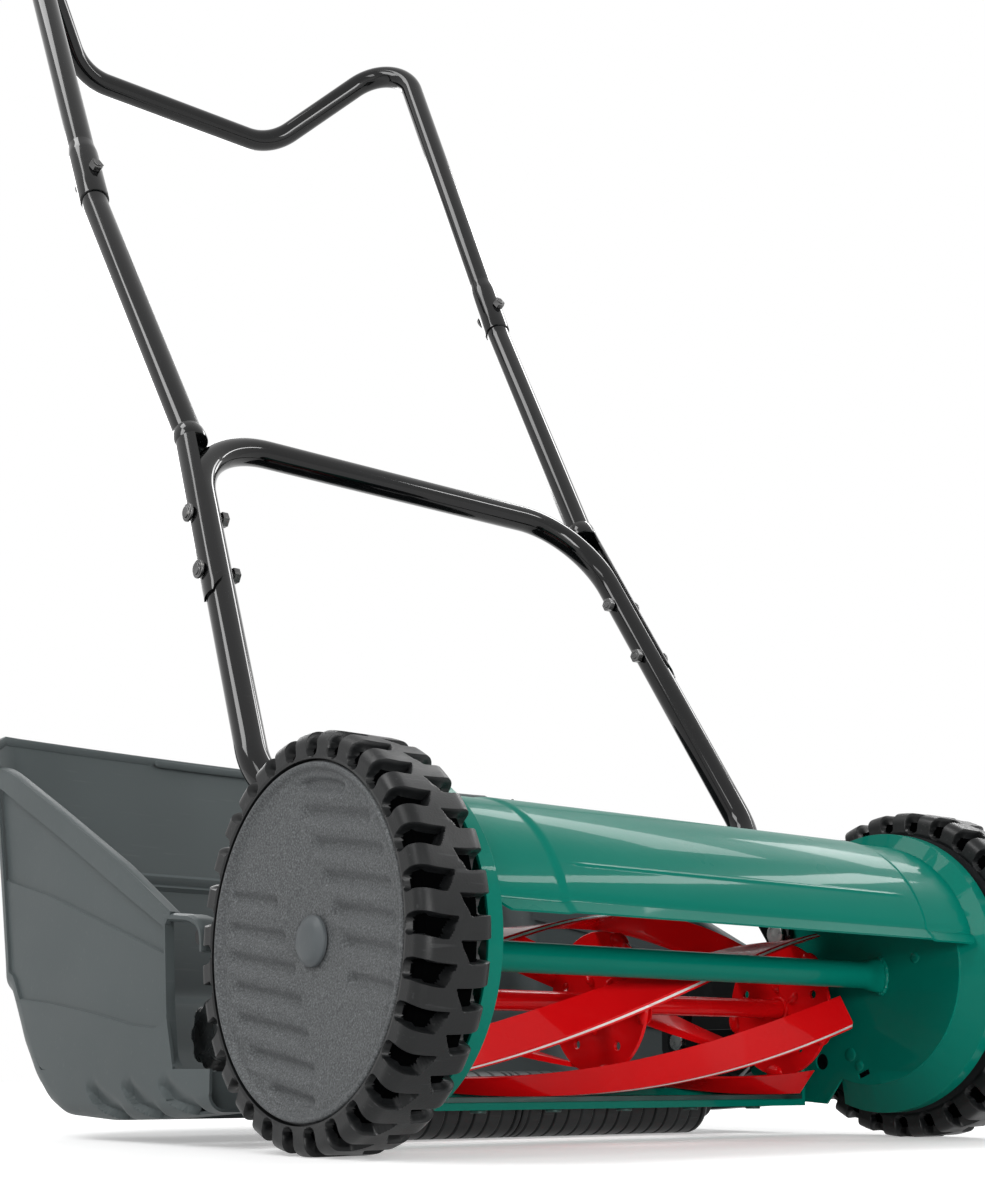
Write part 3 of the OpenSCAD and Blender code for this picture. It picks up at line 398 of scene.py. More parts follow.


# Bedknife: a ground steel strip screwed under the reel onto a green pressed bar, which bolts
# to both side plates through its turned-up ends.
# The knife and its screws take a dark green-grey, which is painted shade where they lie in
# shadow under the reel.
ground_steel = finish("under_reel_steel_painted_shade", (0.05, 0.085, 0.078), 0.5, vary=0.2, blotch=30,
                      gloss=0.08, grain=2500, rise=0.00003, rub=0.4,
                      rub_colour=(0.12, 0.13, 0.12), metal=1.0)
eased("bedknife_bar", "frame", "green_paint", green_paint, "bedknife_bar", width=1.2,
      rounds=3)
eased("bedknife", "frame", "steel", ground_steel, "bedknife", width=0.3)
eased("bedknife_screws", "frame", "steel", ground_steel, "bedknife_screws", width=0.5)


# Reel: a red tube shaft with three discs, and five helical blades welded on the discs, their
# outer edges ground bare on a cylinder. It turns in nylon bearings, and a steel pinion at
# each end drives it through a sliding key.
red_paint = finish("red_stoved_paint", (0.68, 0.004, 0.006), 0.25, vary=0.06, blotch=9,
                   grain=260, rise=0.00007, shine=0.04, coat=0.25)
edge_steel = finish("ground_edge", (0.78, 0.74, 0.72), 0.34, vary=0.1, blotch=60, gloss=0.06,
                    grain=3000, rise=0.00002, rub=0.4, rub_colour=(0.62, 0.2, 0.18),
                    metal=0.35)
reel_y, reel_z = 66.37, 94.1
reel_r, reel_half, blade_t, blade_w = 63, 190, 3, 23
blade_lean = math.radians(50)
land = blade_t / math.cos(blade_lean) / reel_r
edge = land * np.array([0, 0.34, 0.7, 1])
ground = reel_r * np.stack([np.cos(edge), np.sin(edge)], -1)
strip = -blade_w * np.array([math.cos(blade_lean), math.sin(blade_lean)])
down_strip = np.array([0.02, 0.25, 0.5, 0.75, 0.985])[:, None]
heel = np.array([0.12, 0.88])[:, None]
section = np.concatenate([ground, ground[-1] + strip * down_strip,
                          strip + ground[-1] * (1 - heel) + ground[0] * heel,
                          ground[0] + strip * down_strip[::-1]])
stations = np.linspace(-reel_half, reel_half, 121)


def blade_turn(number, x):
    """How far round blade number is at x, in radians. Blades start 72 degrees apart, and
    each winds back 120 degrees along the reel."""
    return np.radians(178 + 72 * number - 120 * x / (2 * reel_half))


for number in range(5):
    turn = blade_turn(number, stations)[:, None]
    ring = laid(stations[:, None],
                reel_y + section[:, 0] * np.cos(turn) - section[:, 1] * np.sin(turn),
                reel_z + section[:, 0] * np.sin(turn) + section[:, 1] * np.cos(turn))
    column = np.tile(np.arange(len(section)), len(stations) - 1)
    marks = np.concatenate([(column == 1).astype(int), np.zeros(2 * len(section), int)])
    name = "reel_blade_%d" % (number + 1)
    formed(name, "reel", "red_paint", [red_paint, edge_steel], [capped_tube(ring)], name,
           corner=30, marks=marks)
eased("reel_shaft", "reel", "red_paint", red_paint, "reel_shaft")
for side, x in (("left", -180), ("middle", 0), ("right", 180)):
    eased("reel_disc_" + side, "reel", "red_paint", red_paint, "reel_disc_" + side,
          width=0.8, rounds=3)
    pads = []
    for number in range(5):
        at = blade_turn(number, x) + math.radians(12)
        radial = np.array([0, math.cos(at), math.sin(at)])
        aside = np.array([0, -math.sin(at), math.cos(at)])
        middle = np.array([x, reel_y, reel_z])
        for face in (-1, 1):
            out = np.array([face * 1.4, 0, 0])
            pads.append(dome(middle + radial * 47 + out, radial * 5, aside * 8, out * 2.2))
            pads.append(dome(middle + radial * 16 + aside * 6 + out, radial * 5.5,
                             aside * 3, out * 2.6))
    bead = circle(10)[:, None]
    for face in (-1, 1):
        pads.append(closed_grid(spun(x + face * 1.8 + 1.6 * np.sin(bead),
                                     8.2 + 1.6 * np.cos(bead), circle(36), reel_y, reel_z)))
    formed("reel_welds_" + side, "reel", "red_paint", [red_paint], pads)
bearing_plastic = finish("bearing_nylon", (0.016, 0.017, 0.018), 0.42, vary=0.2, blotch=30,
                         grain=1400, rise=0.00005, rub=0.3, rub_colour=(0.06, 0.06, 0.06))
gear_steel = finish("sintered_steel", (0.16, 0.155, 0.15), 0.42, vary=0.25, blotch=60,
                    gloss=0.08, grain=2200, rise=0.00005, rub=0.4,
                    rub_colour=(0.4, 0.39, 0.37), metal=1.0)
for side in ("left", "right"):
    eased("reel_bearing_" + side, "frame", "black_plastic", bearing_plastic,
          "reel_bearing_" + side)
    eased("pinion_" + side, "pinion_" + side, "gear_steel", gear_steel, "pinion_" + side,
          width=0.2)
    eased("ratchet_key_" + side, "reel", "steel", zinc, "ratchet_key_" + side, width=0.3)
eased("pinion_circlips", "reel", "gear_steel", gear_steel, "pinion_circlips", width=0.15)


# Wheels: a black moulded drum with the ring gear inside it, turning on a stub axle that is
# nutted through the side plate.
moulded_black = finish("moulded_black", (0.014, 0.015, 0.016), 0.45, vary=0.2, blotch=14,
                       grain=900, rise=0.00008, rub=0.25, rub_colour=(0.05, 0.05, 0.05))
for side in ("left", "right"):
    eased("wheel_" + side, "wheel_" + side, "wheel_plastic", moulded_black, "wheel_" + side)
    eased("axle_" + side, "frame", "steel", zinc, "axle_" + side)
    eased("axle_nut_" + side, "frame", "steel", zinc, "axle_nut_" + side, width=0.6)


# Tyres: solid moulded rubber over the drum. Two rows of deep notches leave square lugs set
# half a pitch apart, and each notch runs down the shoulder to a rounded scoop.
wheel_x, tyre_half, crown_half = 256, 24, 15.5
tyre_r, shoulder_r, bead_r = 119.98, 112, 103.1
wall_rows, notch_count = 13, 30
pitch = 360 / notch_count
shoulder = np.linspace(0, np.pi / 2, 11)[1:-1]
outer_wall = np.stack([np.full(wall_rows, tyre_half),
                       np.linspace(bead_r, shoulder_r, wall_rows)], -1)
shoulder_curve = np.stack([crown_half + (tyre_half - crown_half) * np.cos(shoulder),
                           shoulder_r + (tyre_r - shoulder_r) * np.sin(shoulder)], -1)
crown_x = np.array([crown_half, 13, 11, 9.6, 8.6, 7.6, 6.6, 5.6, 4.6, 3.6, 2.7, 2.0, 1.4, 0.8,
                    0.4])
crown_line = np.stack([crown_x, np.full(len(crown_x), tyre_r)], -1)
half_profile = np.concatenate([outer_wall, shoulder_curve, crown_line])
tyre_profile = np.concatenate([half_profile, half_profile[::-1] * (-1, 1)])
tyre_profile = np.concatenate([tyre_profile, [(-12, bead_r), (12, bead_r)]])
wall_out = np.concatenate([np.tile([1.0, 0.0], (wall_rows, 1)),
                           np.stack([np.cos(shoulder), np.sin(shoulder)], -1),
                           np.tile([0.0, 1.0], (len(crown_x), 1))])
wall_out = np.concatenate([wall_out, wall_out[::-1] * (-1, 1), [(0, 0), (0, 0)]])
edge_steps = np.array([-0.42, -0.16, 0.02, 0.2])
gap_half = math.degrees(5.6 / tyre_r)
edges = np.array([gap_half, pitch / 2 - gap_half, pitch / 2 + gap_half, pitch - gap_half])
in_pitch = np.sort(np.concatenate([
    (edges[:, None] + edge_steps * np.array([[1], [-1], [1], [-1]])).ravel(),
    [0, 0.8, 1.5, 3, pitch / 2 - 1.4, pitch / 2 - 0.6, pitch / 2 + 0.6, pitch / 2 + 1.4,
     9, 10.6, 11.3]]))
tread_angle = (np.arange(notch_count)[:, None] * pitch + in_pitch).ravel()
cross = tyre_profile[:, :1]
down = np.clip((shoulder_r - tyre_profile[:, 1:]) / (shoulder_r - bead_r), 0, 1)
lean = -0.05 * np.abs(cross) + 0.35 * np.sin(np.pi * np.abs(cross) / tyre_half) + 0.5 * down
row_shift = np.where(cross > 0, 0.0, pitch / 2)
from_notch = (tread_angle[None, :] - row_shift + pitch / 2) % pitch - pitch / 2
scoop = np.sqrt(np.clip(1 - smooth(down, 0.35, 0.86) ** 2, 0, 1))
open_half = gap_half * (0.25 + 0.75 * scoop)
in_gap = 1 - smooth(np.abs(from_notch), open_half - 0.05, open_half + 0.38)
inner_end = 4.6 + 3.2 * from_notch / gap_half
past_end = smooth(np.abs(cross), inner_end - 0.5, inner_end + 0.5)
depth = 7.4 - 2.4 * smooth(down, 0, 0.5)
reach_down = 1 - smooth(down, 0.7, 0.9)
sink = depth * in_gap * past_end * reach_down + 0.35 * smooth(down, 0.88, 0.93)
tyre_rubber = finish("tyre_rubber", (0.006, 0.0066, 0.007), 0.4, vary=0.16, blotch=20,
                     gloss=0.07, shine=0.26, grain=800, rise=0.00007, rub=0.35,
                     rub_colour=(0.045, 0.046, 0.048))
# Faces deep in the notches take a near-black matt copy of the rubber, which is painted shade in
# the notches.
notch_painted_shade = finish("notch_painted_shade", (0.0012, 0.0013, 0.0014), 0.85, vary=0.2, blotch=20,
                     grain=600, rise=0.00008, shine=0.0)
deep = (sink > 0.62 * depth) & (sink > 1.2)
deep = deep & np.roll(deep, -1, 0) & np.roll(deep, -1, 1) & np.roll(deep, -1, (0, 1))
for side, end in (("left", -1), ("right", 1)):
    ring = spun(end * (wheel_x + cross - wall_out[:, :1] * sink),
                tyre_profile[:, 1:] - wall_out[:, 1:] * sink,
                np.radians(tread_angle + lean), 0, axle_z)
    formed("tyre_" + side, "wheel_" + side, "tyre_rubber", [tyre_rubber, notch_painted_shade],
           [closed_grid(ring)], "tyre_" + side, corner=34, marks=deep.ravel())


# Wheel covers: grey speckled plastic discs snapped over the drums. Two fans of seven rounded
# ribs stand on each, and a dark domed cap closes the axle's end.
speckled_grey, speckle_skin = shader("speckled_grey")
tree = speckled_grey.node_tree
spot = tree.nodes.new("ShaderNodeTexCoord").outputs["Object"]
fleck = noise(tree, 900, 4, spot)
tone = tree.nodes.new("ShaderNodeValToRGB")
for place, shade in ((0.3, 0.05), (0.46, 0.085), (0.56, 0.105), (0.74, 0.18)):
    stop = tone.color_ramp.elements.new(place)
    stop.color = (shade, shade * 1.05, shade * 1.08, 1)
tone.color_ramp.elements.remove(tone.color_ramp.elements[0])
tone.color_ramp.elements.remove(tone.color_ramp.elements[-1])
tree.links.new(fleck, tone.inputs["Fac"])
tree.links.new(tone.outputs["Color"], speckle_skin.inputs["Base Color"])
speckle_skin.inputs["Specular IOR Level"].default_value = 0.14
tree.links.new(spread(tree, noise(tree, 18, 2, spot), 0, 1, 0.42, 0.56),
               speckle_skin.inputs["Roughness"])
pebble = tree.nodes.new("ShaderNodeBump")
pebble.inputs["Distance"].default_value = 0.00022
tree.links.new(fleck, pebble.inputs["Height"])
tree.links.new(pebble.outputs[0], speckle_skin.inputs["Normal"])
cap_plastic = finish("cap_plastic", (0.085, 0.095, 0.1), 0.42, vary=0.12, blotch=30,
                     grain=900, rise=0.00006, rub=0.3, rub_colour=(0.14, 0.15, 0.15))

face_rows, cover_t, inner_fit = 112, 2.2, 0.996
cover_r = np.concatenate([np.linspace(13.2, 95, face_rows), [96.2, 97, 97.6, 98.4, 99.4,
                                                            100.4, 101.2, 101.7, 101.9]])
cover_h = np.concatenate([np.linspace(14.2, 20.2, face_rows), [20.4, 20.9, 22.2, 23.2, 23.7,
                                                              23.7, 23.2, 22.2, 20.4]])
ribs = np.array([(13.6, -88, 25), (27.6, -68.4, 36), (38.8, -49, 38), (47.5, -29.5, 37),
                 (54.5, -11, 35), (60.5, 7.5, 30), (63.5, 27.5, 25)])
ribs = np.concatenate([ribs, ribs * (-1, -1, 1)])
rib_turn, rib_w, rib_sink = math.radians(9), 6.6, 3.6
cover_angle = circle(380)
flat_y = np.outer(cover_r, np.cos(cover_angle))
flat_z = np.outer(cover_r, np.sin(cover_angle))
swell = np.zeros_like(flat_y)
for rib_y, rib_z, rib_half in ribs:
    run = (flat_y - rib_y) * math.cos(rib_turn) + (flat_z - rib_z) * math.sin(rib_turn)
    off = -(flat_y - rib_y) * math.sin(rib_turn) + (flat_z - rib_z) * math.cos(rib_turn)
    ends = 1 - smooth(np.abs(run) - rib_half, -4, 2)
    inside = np.clip(np.abs(off) / rib_w, 0, 1)
    swell -= rib_sink * ends * (0.5 + 0.5 * np.cos(np.pi * inside)) ** 0.85
    swell += 0.7 * ends * np.exp(-((off + 8.2) / 2) ** 2)
swell *= (1 - smooth(cover_r, 91, 94.5))[:, None]
cover_out = laid(cover_h[:, None] + swell, flat_y, flat_z + axle_z)
cover_in = laid(cover_h[:, None] - cover_t + np.minimum(swell, 0),
                flat_y * inner_fit, flat_z * inner_fit + axle_z)
cover_grid = np.concatenate([cover_out, cover_in[::-1]])
cap_r = np.array([10.6, 14.2, 14.8, 14.9, 14.5, 13.6, 12, 10, 7.5, 5, 2.5, 0.3])
cap_h = np.array([14.6, 14.6, 15, 16.6, 17.4, 17.9, 19.4, 20.2, 20.6, 20.8, 20.9, 20.9])
cap_front = spun(cap_h[:, None], cap_r[:, None], circle(72), 0, axle_z)
for side, end in (("left", -1), ("right", 1)):
    lay = np.array([end, 1, 1])
    off_middle = np.array([end * wheel_x, 0, 0])
    formed("wheel_cover_" + side, "wheel_" + side, "cover_plastic", [speckled_grey],
           [closed_grid(cover_grid * lay + off_middle)], "wheel_cover_" + side, corner=40)
    formed("wheel_cap_" + side, "wheel_" + side, "black_plastic", [cap_plastic],
           [capped_tube(cap_front * lay + off_middle)], "wheel_cap_" + side, corner=50)


# Rear carriers and roller arms: ribbed black mouldings screwed to the plates, with flat black
# steel arms inside them that swing on a pin and carry the roller's axle.
carrier_plastic = finish("carrier_nylon", (0.008, 0.0085, 0.009), 0.4, vary=0.25, blotch=16,
                         grain=1000, rise=0.00006, rub=0.25, rub_colour=(0.04, 0.04, 0.04))
black_paint = finish("black_gloss_paint", (0.002, 0.0022, 0.0025), 0.15, vary=0.2, blotch=12,
                     gloss=0.04, grain=300, rise=0.00003, rub=0.12,
                     rub_colour=(0.03, 0.03, 0.03), shine=0.05, coat=0.6)
dark_zinc = finish("dark_fastener", (0.12, 0.12, 0.12), 0.34, vary=0.3, blotch=80, gloss=0.08,
                   grain=1600, rise=0.00003, rub=0.4, rub_colour=(0.4, 0.39, 0.37), metal=1.0)
for side in ("left", "right"):
    eased("rear_carrier_" + side, "frame", "black_plastic", carrier_plastic,
          "rear_carrier_" + side, width=0.7, rounds=3)
    eased("roller_arm_" + side, "roller_frame", "black_paint", black_paint,
          "roller_arm_" + side, width=0.6)
    eased("knob_bolt_" + side, "roller_frame", "steel", zinc, "knob_bolt_" + side)
eased("carrier_screws", "frame", "steel", dark_zinc, "carrier_screws", width=0.6)
eased("roller_arm_pivots", "frame", "steel", dark_zinc, "roller_arm_pivots", width=0.6)
eased("roller_axle", "roller_frame", "steel", zinc, "roller_axle")
eased("roller_clips", "roller_frame", "steel", zinc, "roller_clips")


# Roller: two hollow black mouldings that turn on one axle, with shallow grooves cut round
# them so that they grip short grass.
roller_y, roller_z, roller_r, roller_half = 174, 24, 23.98, 185.75
roller_plastic = finish("roller_moulding", (0.028, 0.0305, 0.0315), 0.34, vary=0.2, blotch=22,
                        grain=700, rise=0.00005, rub=0.35, rub_colour=(0.07, 0.07, 0.07))
along_roller = np.unique(np.concatenate([np.linspace(0.75, roller_half, 430),
                                         [1.2, 1.8, 2.6, 184, 184.8, 185.4]]))
wave = (along_roller % 12.4) / 12.4
groove = 1.7 * np.exp(-((wave - 0.5) / 0.075) ** 4)
end_round = 2.2 * (1 - np.sqrt(1 - np.clip((along_roller - roller_half + 3.5) / 3.5, 0, 1) ** 2))
mid_round = 1.0 * (1 - np.sqrt(1 - np.clip((2.2 - along_roller) / 1.5, 0, 1) ** 2))
radius = roller_r - groove - end_round - mid_round
radius = np.concatenate([[4.1, 12], radius, [14, 12.5, 4.1]])
along_roller = np.concatenate([[0.75, 0.75], along_roller, [roller_half, roller_half - 2,
                                                           roller_half - 2]])
for side, end in (("left", -1), ("right", 1)):
    barrel = spun(end * along_roller[:, None], radius[:, None], circle(72),
                  roller_y, roller_z)
    formed("roller_" + side, "roller", "roller_plastic", [roller_plastic],
           [capped_tube(barrel)], "roller_" + side, corner=42)


# Height knobs: dark mouldings with eight lobes and fine grip ribs, which clamp the arms
# through the carriers' slots.
# The knobs' dark grey is lighter than their near-black moulding. This is painted light where the
# wheel shades them.
knob_plastic_painted_light = finish("knob_moulding_painted_light", (0.05, 0.054, 0.055), 0.28, vary=0.2, blotch=20,
                      grain=700, rise=0.00005, rub=0.3, rub_colour=(0.07, 0.07, 0.07),
                      shine=0.4)
knob_y, knob_z, knob_low = 193, 72, 214.5
knob_rise = np.array([0, 0, 0, 0.8, 3, 6, 9, 12, 15, 17.5, 19.4, 20.6, 21, 21, 19.4, 18.6, 18.6])
knob_span = np.array([6, 16, 21, 22.6, 24, 24, 24, 24, 24, 23.6, 22.4, 20.4, 18.6, 13.4, 11.6,
                      9, 0.4])
knob_turn = circle(384)
lobe = 0.5 + 0.5 * np.cos(8 * knob_turn)
grip = np.clip(np.cos(48 * knob_turn), 0, 1) ** 2
body_part = smooth(knob_rise, 3, 7) * smooth(knob_span, 17, 20)
knob_radius = (knob_span[:, None] - 4.2 * body_part[:, None] * (1 - lobe) ** 1.6
               - 1.3 * body_part[:, None] * (1 - grip) * lobe)
for side, end in (("left", -1), ("right", 1)):
    knob = spun(end * (knob_low + knob_rise[:, None]), knob_radius, knob_turn, knob_y, knob_z)
    formed("height_knob_" + side, "height_knob_" + side, "black_plastic", [knob_plastic_painted_light],
           [capped_tube(knob)], "height_knob_" + side, corner=35)


# Handle: gloss black steel tubes. The lower one is a bent hoop on the side plates' pins, the
# middle ones are bolted along its legs, and the top one is swaged over them.
def bent_path(corners, bends, arc_step=3.0, gap=4.0):
    """Points along straight lines joined at the corners by arcs of the bend radii. Each arc
    starts before its corner by its radius times the tangent of half its turn."""
    corners = [np.array(corner, float) for corner in corners]
    stretches, last = [], corners[0]
    for before, at, after, bend in zip(corners, corners[1:], corners[2:], bends):
        first = unit(at - before)
        second = unit(after - at)
        turn = math.acos(float(first @ second))
        cut = bend * math.tan(turn / 2)
        start = at - first * cut
        aside = unit(second - first * (first @ second))
        count = max(2, int(np.linalg.norm(start - last) / gap))
        stretches.append(last + np.linspace(0, 1, count, endpoint=False)[:, None]
                         * (start - last))
        swing = np.linspace(0, turn, max(6, int(math.degrees(turn) / arc_step)),
                            endpoint=False)[:, None]
        stretches.append(start + bend * (np.sin(swing) * first + (1 - np.cos(swing)) * aside))
        last = at + second * cut
    count = max(2, int(np.linalg.norm(corners[-1] - last) / gap))
    stretches.append(last + np.linspace(0, 1, count)[:, None] * (corners[-1] - last))
    return np.concatenate(stretches)


def swept(path, radius, sides=64):
    """A round tube along the path. Each ring starts from the side where the last one did,
    less its share along the path, so that the tube never twists."""
    way = unit(np.gradient(path, axis=0))
    level = np.empty_like(way)
    level[0] = unit(np.cross(way[0], (0.3, 0.5, -0.8)))
    for step in range(1, len(way)):
        level[step] = unit(level[step - 1] - way[step] * (way[step] @ level[step - 1]))
    second = np.cross(way, level)
    turn = circle(sides)[:, None]
    size = np.broadcast_to(radius, len(path))[:, None, None]
    return path[:, None] + size * (np.cos(turn) * level[:, None] + np.sin(turn)
                                   * second[:, None])


tube_r = 11
leg_bend, leg_slope = np.array([228, 147, 246.0]), np.array([-0.11, 0.58, 1])
pivot = np.array([198.7, 82, 152.0])
tongue_way = unit((leg_bend - pivot) * (0, 1, 1))
leg_foot = pivot + 40 * tongue_way
crossbar_end = leg_bend + (532 - leg_bend[2]) * leg_slope
flip = np.array([-1, 1, 1])
hoop = bent_path([leg_foot, leg_bend, crossbar_end, crossbar_end * flip, leg_bend * flip,
                  leg_foot * flip], [60, 75, 75, 60])
foot_part = np.linspace(0, 1, 26)[:, None]
spine = pivot - 12.6 * tongue_way + foot_part * 66 * tongue_way
bow = np.cross(tongue_way, (1.0, 0, 0))
fullness = smooth(foot_part, 0.62, 0.98)
rounding = np.sqrt(np.clip(1 - ((0.2 - foot_part) / 0.2).clip(0, 1) ** 2, 0.02, 1))
half_wide = (13 * (1 - fullness) + 11 * fullness) * rounding
half_thick = 3 * (1 - fullness) + 10.6 * fullness
turn = circle(40)
power = 0.45 + 0.55 * fullness
wide = np.sign(np.cos(turn)) * np.abs(np.cos(turn)) ** power
thick = np.sign(np.sin(turn)) * np.abs(np.sin(turn)) ** power
foot = spine[:, None] + (half_wide * wide)[..., None] * bow
foot[..., 0] += half_thick * thick + smooth(foot_part, 0.5, 1.0) * 3.1
parts = [capped_tube(swept(hoop, tube_r)), capped_tube(foot), capped_tube(foot * flip)]
formed("lower_handle", "handle", "black_paint", [black_paint], parts, "lower_handle")

joint = np.array([216.7, 457.7, 775.0])
corner = np.array([225, 651.6, 1183.0])
valley = np.array([113, 745.6, 1078.0])
top_way = unit(corner - joint)
channel_low = leg_bend + (380 - leg_bend[2]) * leg_slope
channel_high = leg_bend + (525 - leg_bend[2]) * leg_slope
leg_way = unit(leg_slope)
tube = swept(bent_path([channel_high, joint, joint + 60 * top_way], [90]), tube_r)
run = np.linspace(0, 1, 60)[:, None]
spine = channel_low + run * (channel_high - channel_low + 8 * leg_way)
across_way = unit(np.array([1.0, 0, 0]) - leg_way * leg_way[0])
depth_way = np.cross(leg_way, across_way)
wrap = (1 - 0.55 * (1 - smooth(run, 0, 0.07))) * np.linspace(-1.32, 1.32, 26)
cradle = np.cos(wrap)[..., None] * across_way + np.sin(wrap)[..., None] * depth_way
outer = spine[:, None] + 12.65 * cradle
inner = spine[:, None] + 11.15 * cradle
collar_run = np.array([-2, -1.4, 0, 4, 9, 11.5, 13])[:, None]
collar_radius = np.array([11.4, 12.5, 12.8, 12.8, 12.3, 11.4, 11.0])
collar = swept(channel_high + collar_run * unit(joint - channel_high), collar_radius)
for side, lay in (("left", flip), ("right", np.ones(3))):
    formed("middle_tube_" + side, "handle", "black_paint", [black_paint],
           [capped_tube(tube * lay), thin_plate(outer * lay, inner * lay),
            capped_tube(collar * lay)], "middle_tube_" + side)

top_foot = joint + 69 * top_way
grip = bent_path([top_foot, corner, valley, valley * flip, corner * flip, top_foot * flip],
                 [45, 60, 60, 45])
parts = [capped_tube(swept(grip, tube_r))]
swage_run = np.array([8, 8.5, 10, 30, 50, 64, 68, 72, 76, 78])[:, None]
swage_radius = np.array([11.5, 12.3, 12.5, 12.5, 12.5, 12.5, 12.2, 11.5, 11.1, 10.9])
for lay in (np.ones(3), flip):
    parts.append(capped_tube(swept(joint + swage_run * top_way, swage_radius) * lay))
formed("top_handle", "handle", "black_paint", [black_paint], parts, "top_handle")
for name in ("middle_tube_bolts", "middle_tube_nuts", "grip_bolts", "grip_nuts"):
    eased(name, "handle", "steel", dark_zinc, name, width=0.7, rounds=3)
eased("handle_pivots", "frame", "steel", zinc, "handle_pivots", width=0.7)


# Grass box: one dark grey moulding, open at the top and front, that hooks on the rear
# carriers. Its sides step inwards in three bands as they rise, and the lowest is louvred.
box_half, middle_half, upper_half, box_wall = 270, 268, 266, 2.0
box_plastic = finish("grass_box_plastic", (0.082, 0.096, 0.098), 0.42, vary=0.1, blotch=5,
                     gloss=0.05, grain=700, rise=0.00005, rub=0.22, shine=0.09,
                     rub_colour=(0.13, 0.145, 0.145))


def spaced(line, count, passes=0):
    """Points at even distances along a broken line of y and z. Each pass of the weights 1/4,
    1/2 and 1/4 rounds its corners a little more."""
    line = np.array(line, float)
    length = np.concatenate([[0], np.cumsum(np.linalg.norm(np.diff(line, axis=0), axis=1))])
    even = np.linspace(0, length[-1], count)
    points = np.stack([np.interp(even, length, line[:, 0]),
                       np.interp(even, length, line[:, 1])], -1)
    for _ in range(passes):
        points[1:-1] = 0.5 * points[1:-1] + 0.25 * (points[:-2] + points[2:])
    return points


floor_line = [(120.5, 22.4), (182, 18.3), (217, 16.1), (270, 14.5), (344, 17), (372, 24),
              (400, 38), (428, 62), (446, 87), (458, 103), (470, 108), (489, 183),
              (526, 317), (528, 322)]
station = spaced(floor_line, 380, passes=14)
heading = np.gradient(station, axis=0)
for _ in range(160):
    heading[1:-1] = 0.5 * heading[1:-1] + 0.25 * (heading[:-2] + heading[2:])
heading = unit(heading)
inward = np.stack([-heading[:, 1], heading[:, 0]], -1)
bend_r = 11 + 15 * smooth(station[:, 0], 330, 440)
shoulder_line = station + bend_r[:, None] * inward

louvres = [spaced(line, 40, passes=3) for line in (
    [(301, 39.5), (296, 32.5), (287, 26), (272, 20.5), (252, 14.5)],
    [(245, 40.5), (240.5, 34), (233, 28.5), (220, 22.5), (201, 16)],
    [(191, 42), (186.5, 36), (180, 30.5), (167, 24.5), (147, 18.5)])]


def louvred(y, z):
    """How far the skin sinks at y and z: 5 mm just in front of each louvre's curve, easing
    back to nothing by 16 mm and fading out towards the curve's top."""
    sink = np.zeros_like(y)
    for line in louvres:
        off = np.stack([y[..., None] - line[:, 0], z[..., None] - line[:, 1]], -1)
        far = np.linalg.norm(off, axis=-1)
        near = far.argmin(-1)
        along = np.gradient(line, axis=0)[near]
        gap = np.take_along_axis(off, near[..., None, None], -2)[..., 0, :]
        side = along[..., 1] * gap[..., 0] - along[..., 0] * gap[..., 1]
        ahead = np.where(side > 0, far.min(-1), 0.0)
        fade = smooth(near / (len(line) - 1), 0.0, 0.3)
        sink += 5.0 * fade * smooth(ahead, 0, 1.3) * (1 - smooth(ahead, 2, 16))
    return sink


bend_turn = np.linspace(0, np.pi / 2, 13)
corner_y = shoulder_line[:, :1] - np.sin(bend_turn) * (bend_r * inward[:, 0])[:, None]
corner_z = shoulder_line[:, 1:] - np.sin(bend_turn) * (bend_r * inward[:, 1])[:, None]
corner_sink = louvred(corner_y, corner_z) * (1 - smooth(corner_y, 300, 320))


def corner_skin(depth):
    """The rounded corner between side and floor, depth millimetres under its outer face."""
    reach = bend_r[:, None] - depth - corner_sink
    return laid(-box_half + bend_r[:, None] - reach * np.cos(bend_turn),
                shoulder_line[:, :1] - reach * np.sin(bend_turn) * inward[:, :1],
                shoulder_line[:, 1:] - reach * np.sin(bend_turn) * inward[:, 1:])


corner_band = thin_plate(corner_skin(0), corner_skin(box_wall))

floor_from = np.searchsorted(station[:, 0], 217)
bay = np.arange(floor_from, len(station), 2)
floor_part = np.linspace(-1, 1, 25)
ledge_z = station[bay, 1]
ledge = 2.6 * (smooth(ledge_z, 199, 200.5) - smooth(ledge_z, 203, 204.5)
               + smooth(ledge_z, 207, 208.5) - smooth(ledge_z, 211, 212.5))
half_floor = (box_half - bend_r)[bay, None]


def floor_skin(depth):
    """The floor and rear wall, depth millimetres in from their outer face."""
    place = station[bay] + np.asarray(depth)[..., None] * inward[bay]
    return laid(half_floor * floor_part, place[:, :1], place[:, 1:])


floor_sheet = thin_plate(floor_skin(np.zeros(len(bay))), floor_skin(box_wall + ledge))


def panel(low, high, rows, columns=90):
    """A grid of y and z that goes evenly from one broken line to the other, over a band of
    the box's side."""
    step = np.linspace(0, 1, rows)[:, None, None]
    return spaced(low, columns, 4) * (1 - step) + spaced(high, columns, 4) * step


def to_corner(grid):
    """The grid with its rear end brought to the rounded corner. That move fades forwards
    with the fourth power of the part of the way along each row."""
    back = np.interp(grid[:, -1, 1], shoulder_line[:, 1], shoulder_line[:, 0])
    along = np.linspace(0, 1, grid.shape[1])
    grid[..., 0] += (back - grid[:, -1, 0])[:, None] * along ** 4
    return grid


def plated(grid, out, sunk=0.0, wall=box_wall):
    """A thin plate of a panel's grid, its outer face at -out but sunk by so many
    millimetres."""
    depth = np.broadcast_to(sunk, grid.shape[:2])[..., None]
    return thin_plate(np.concatenate([-out + depth, grid], -1),
                      np.concatenate([-out + depth + wall, grid], -1))


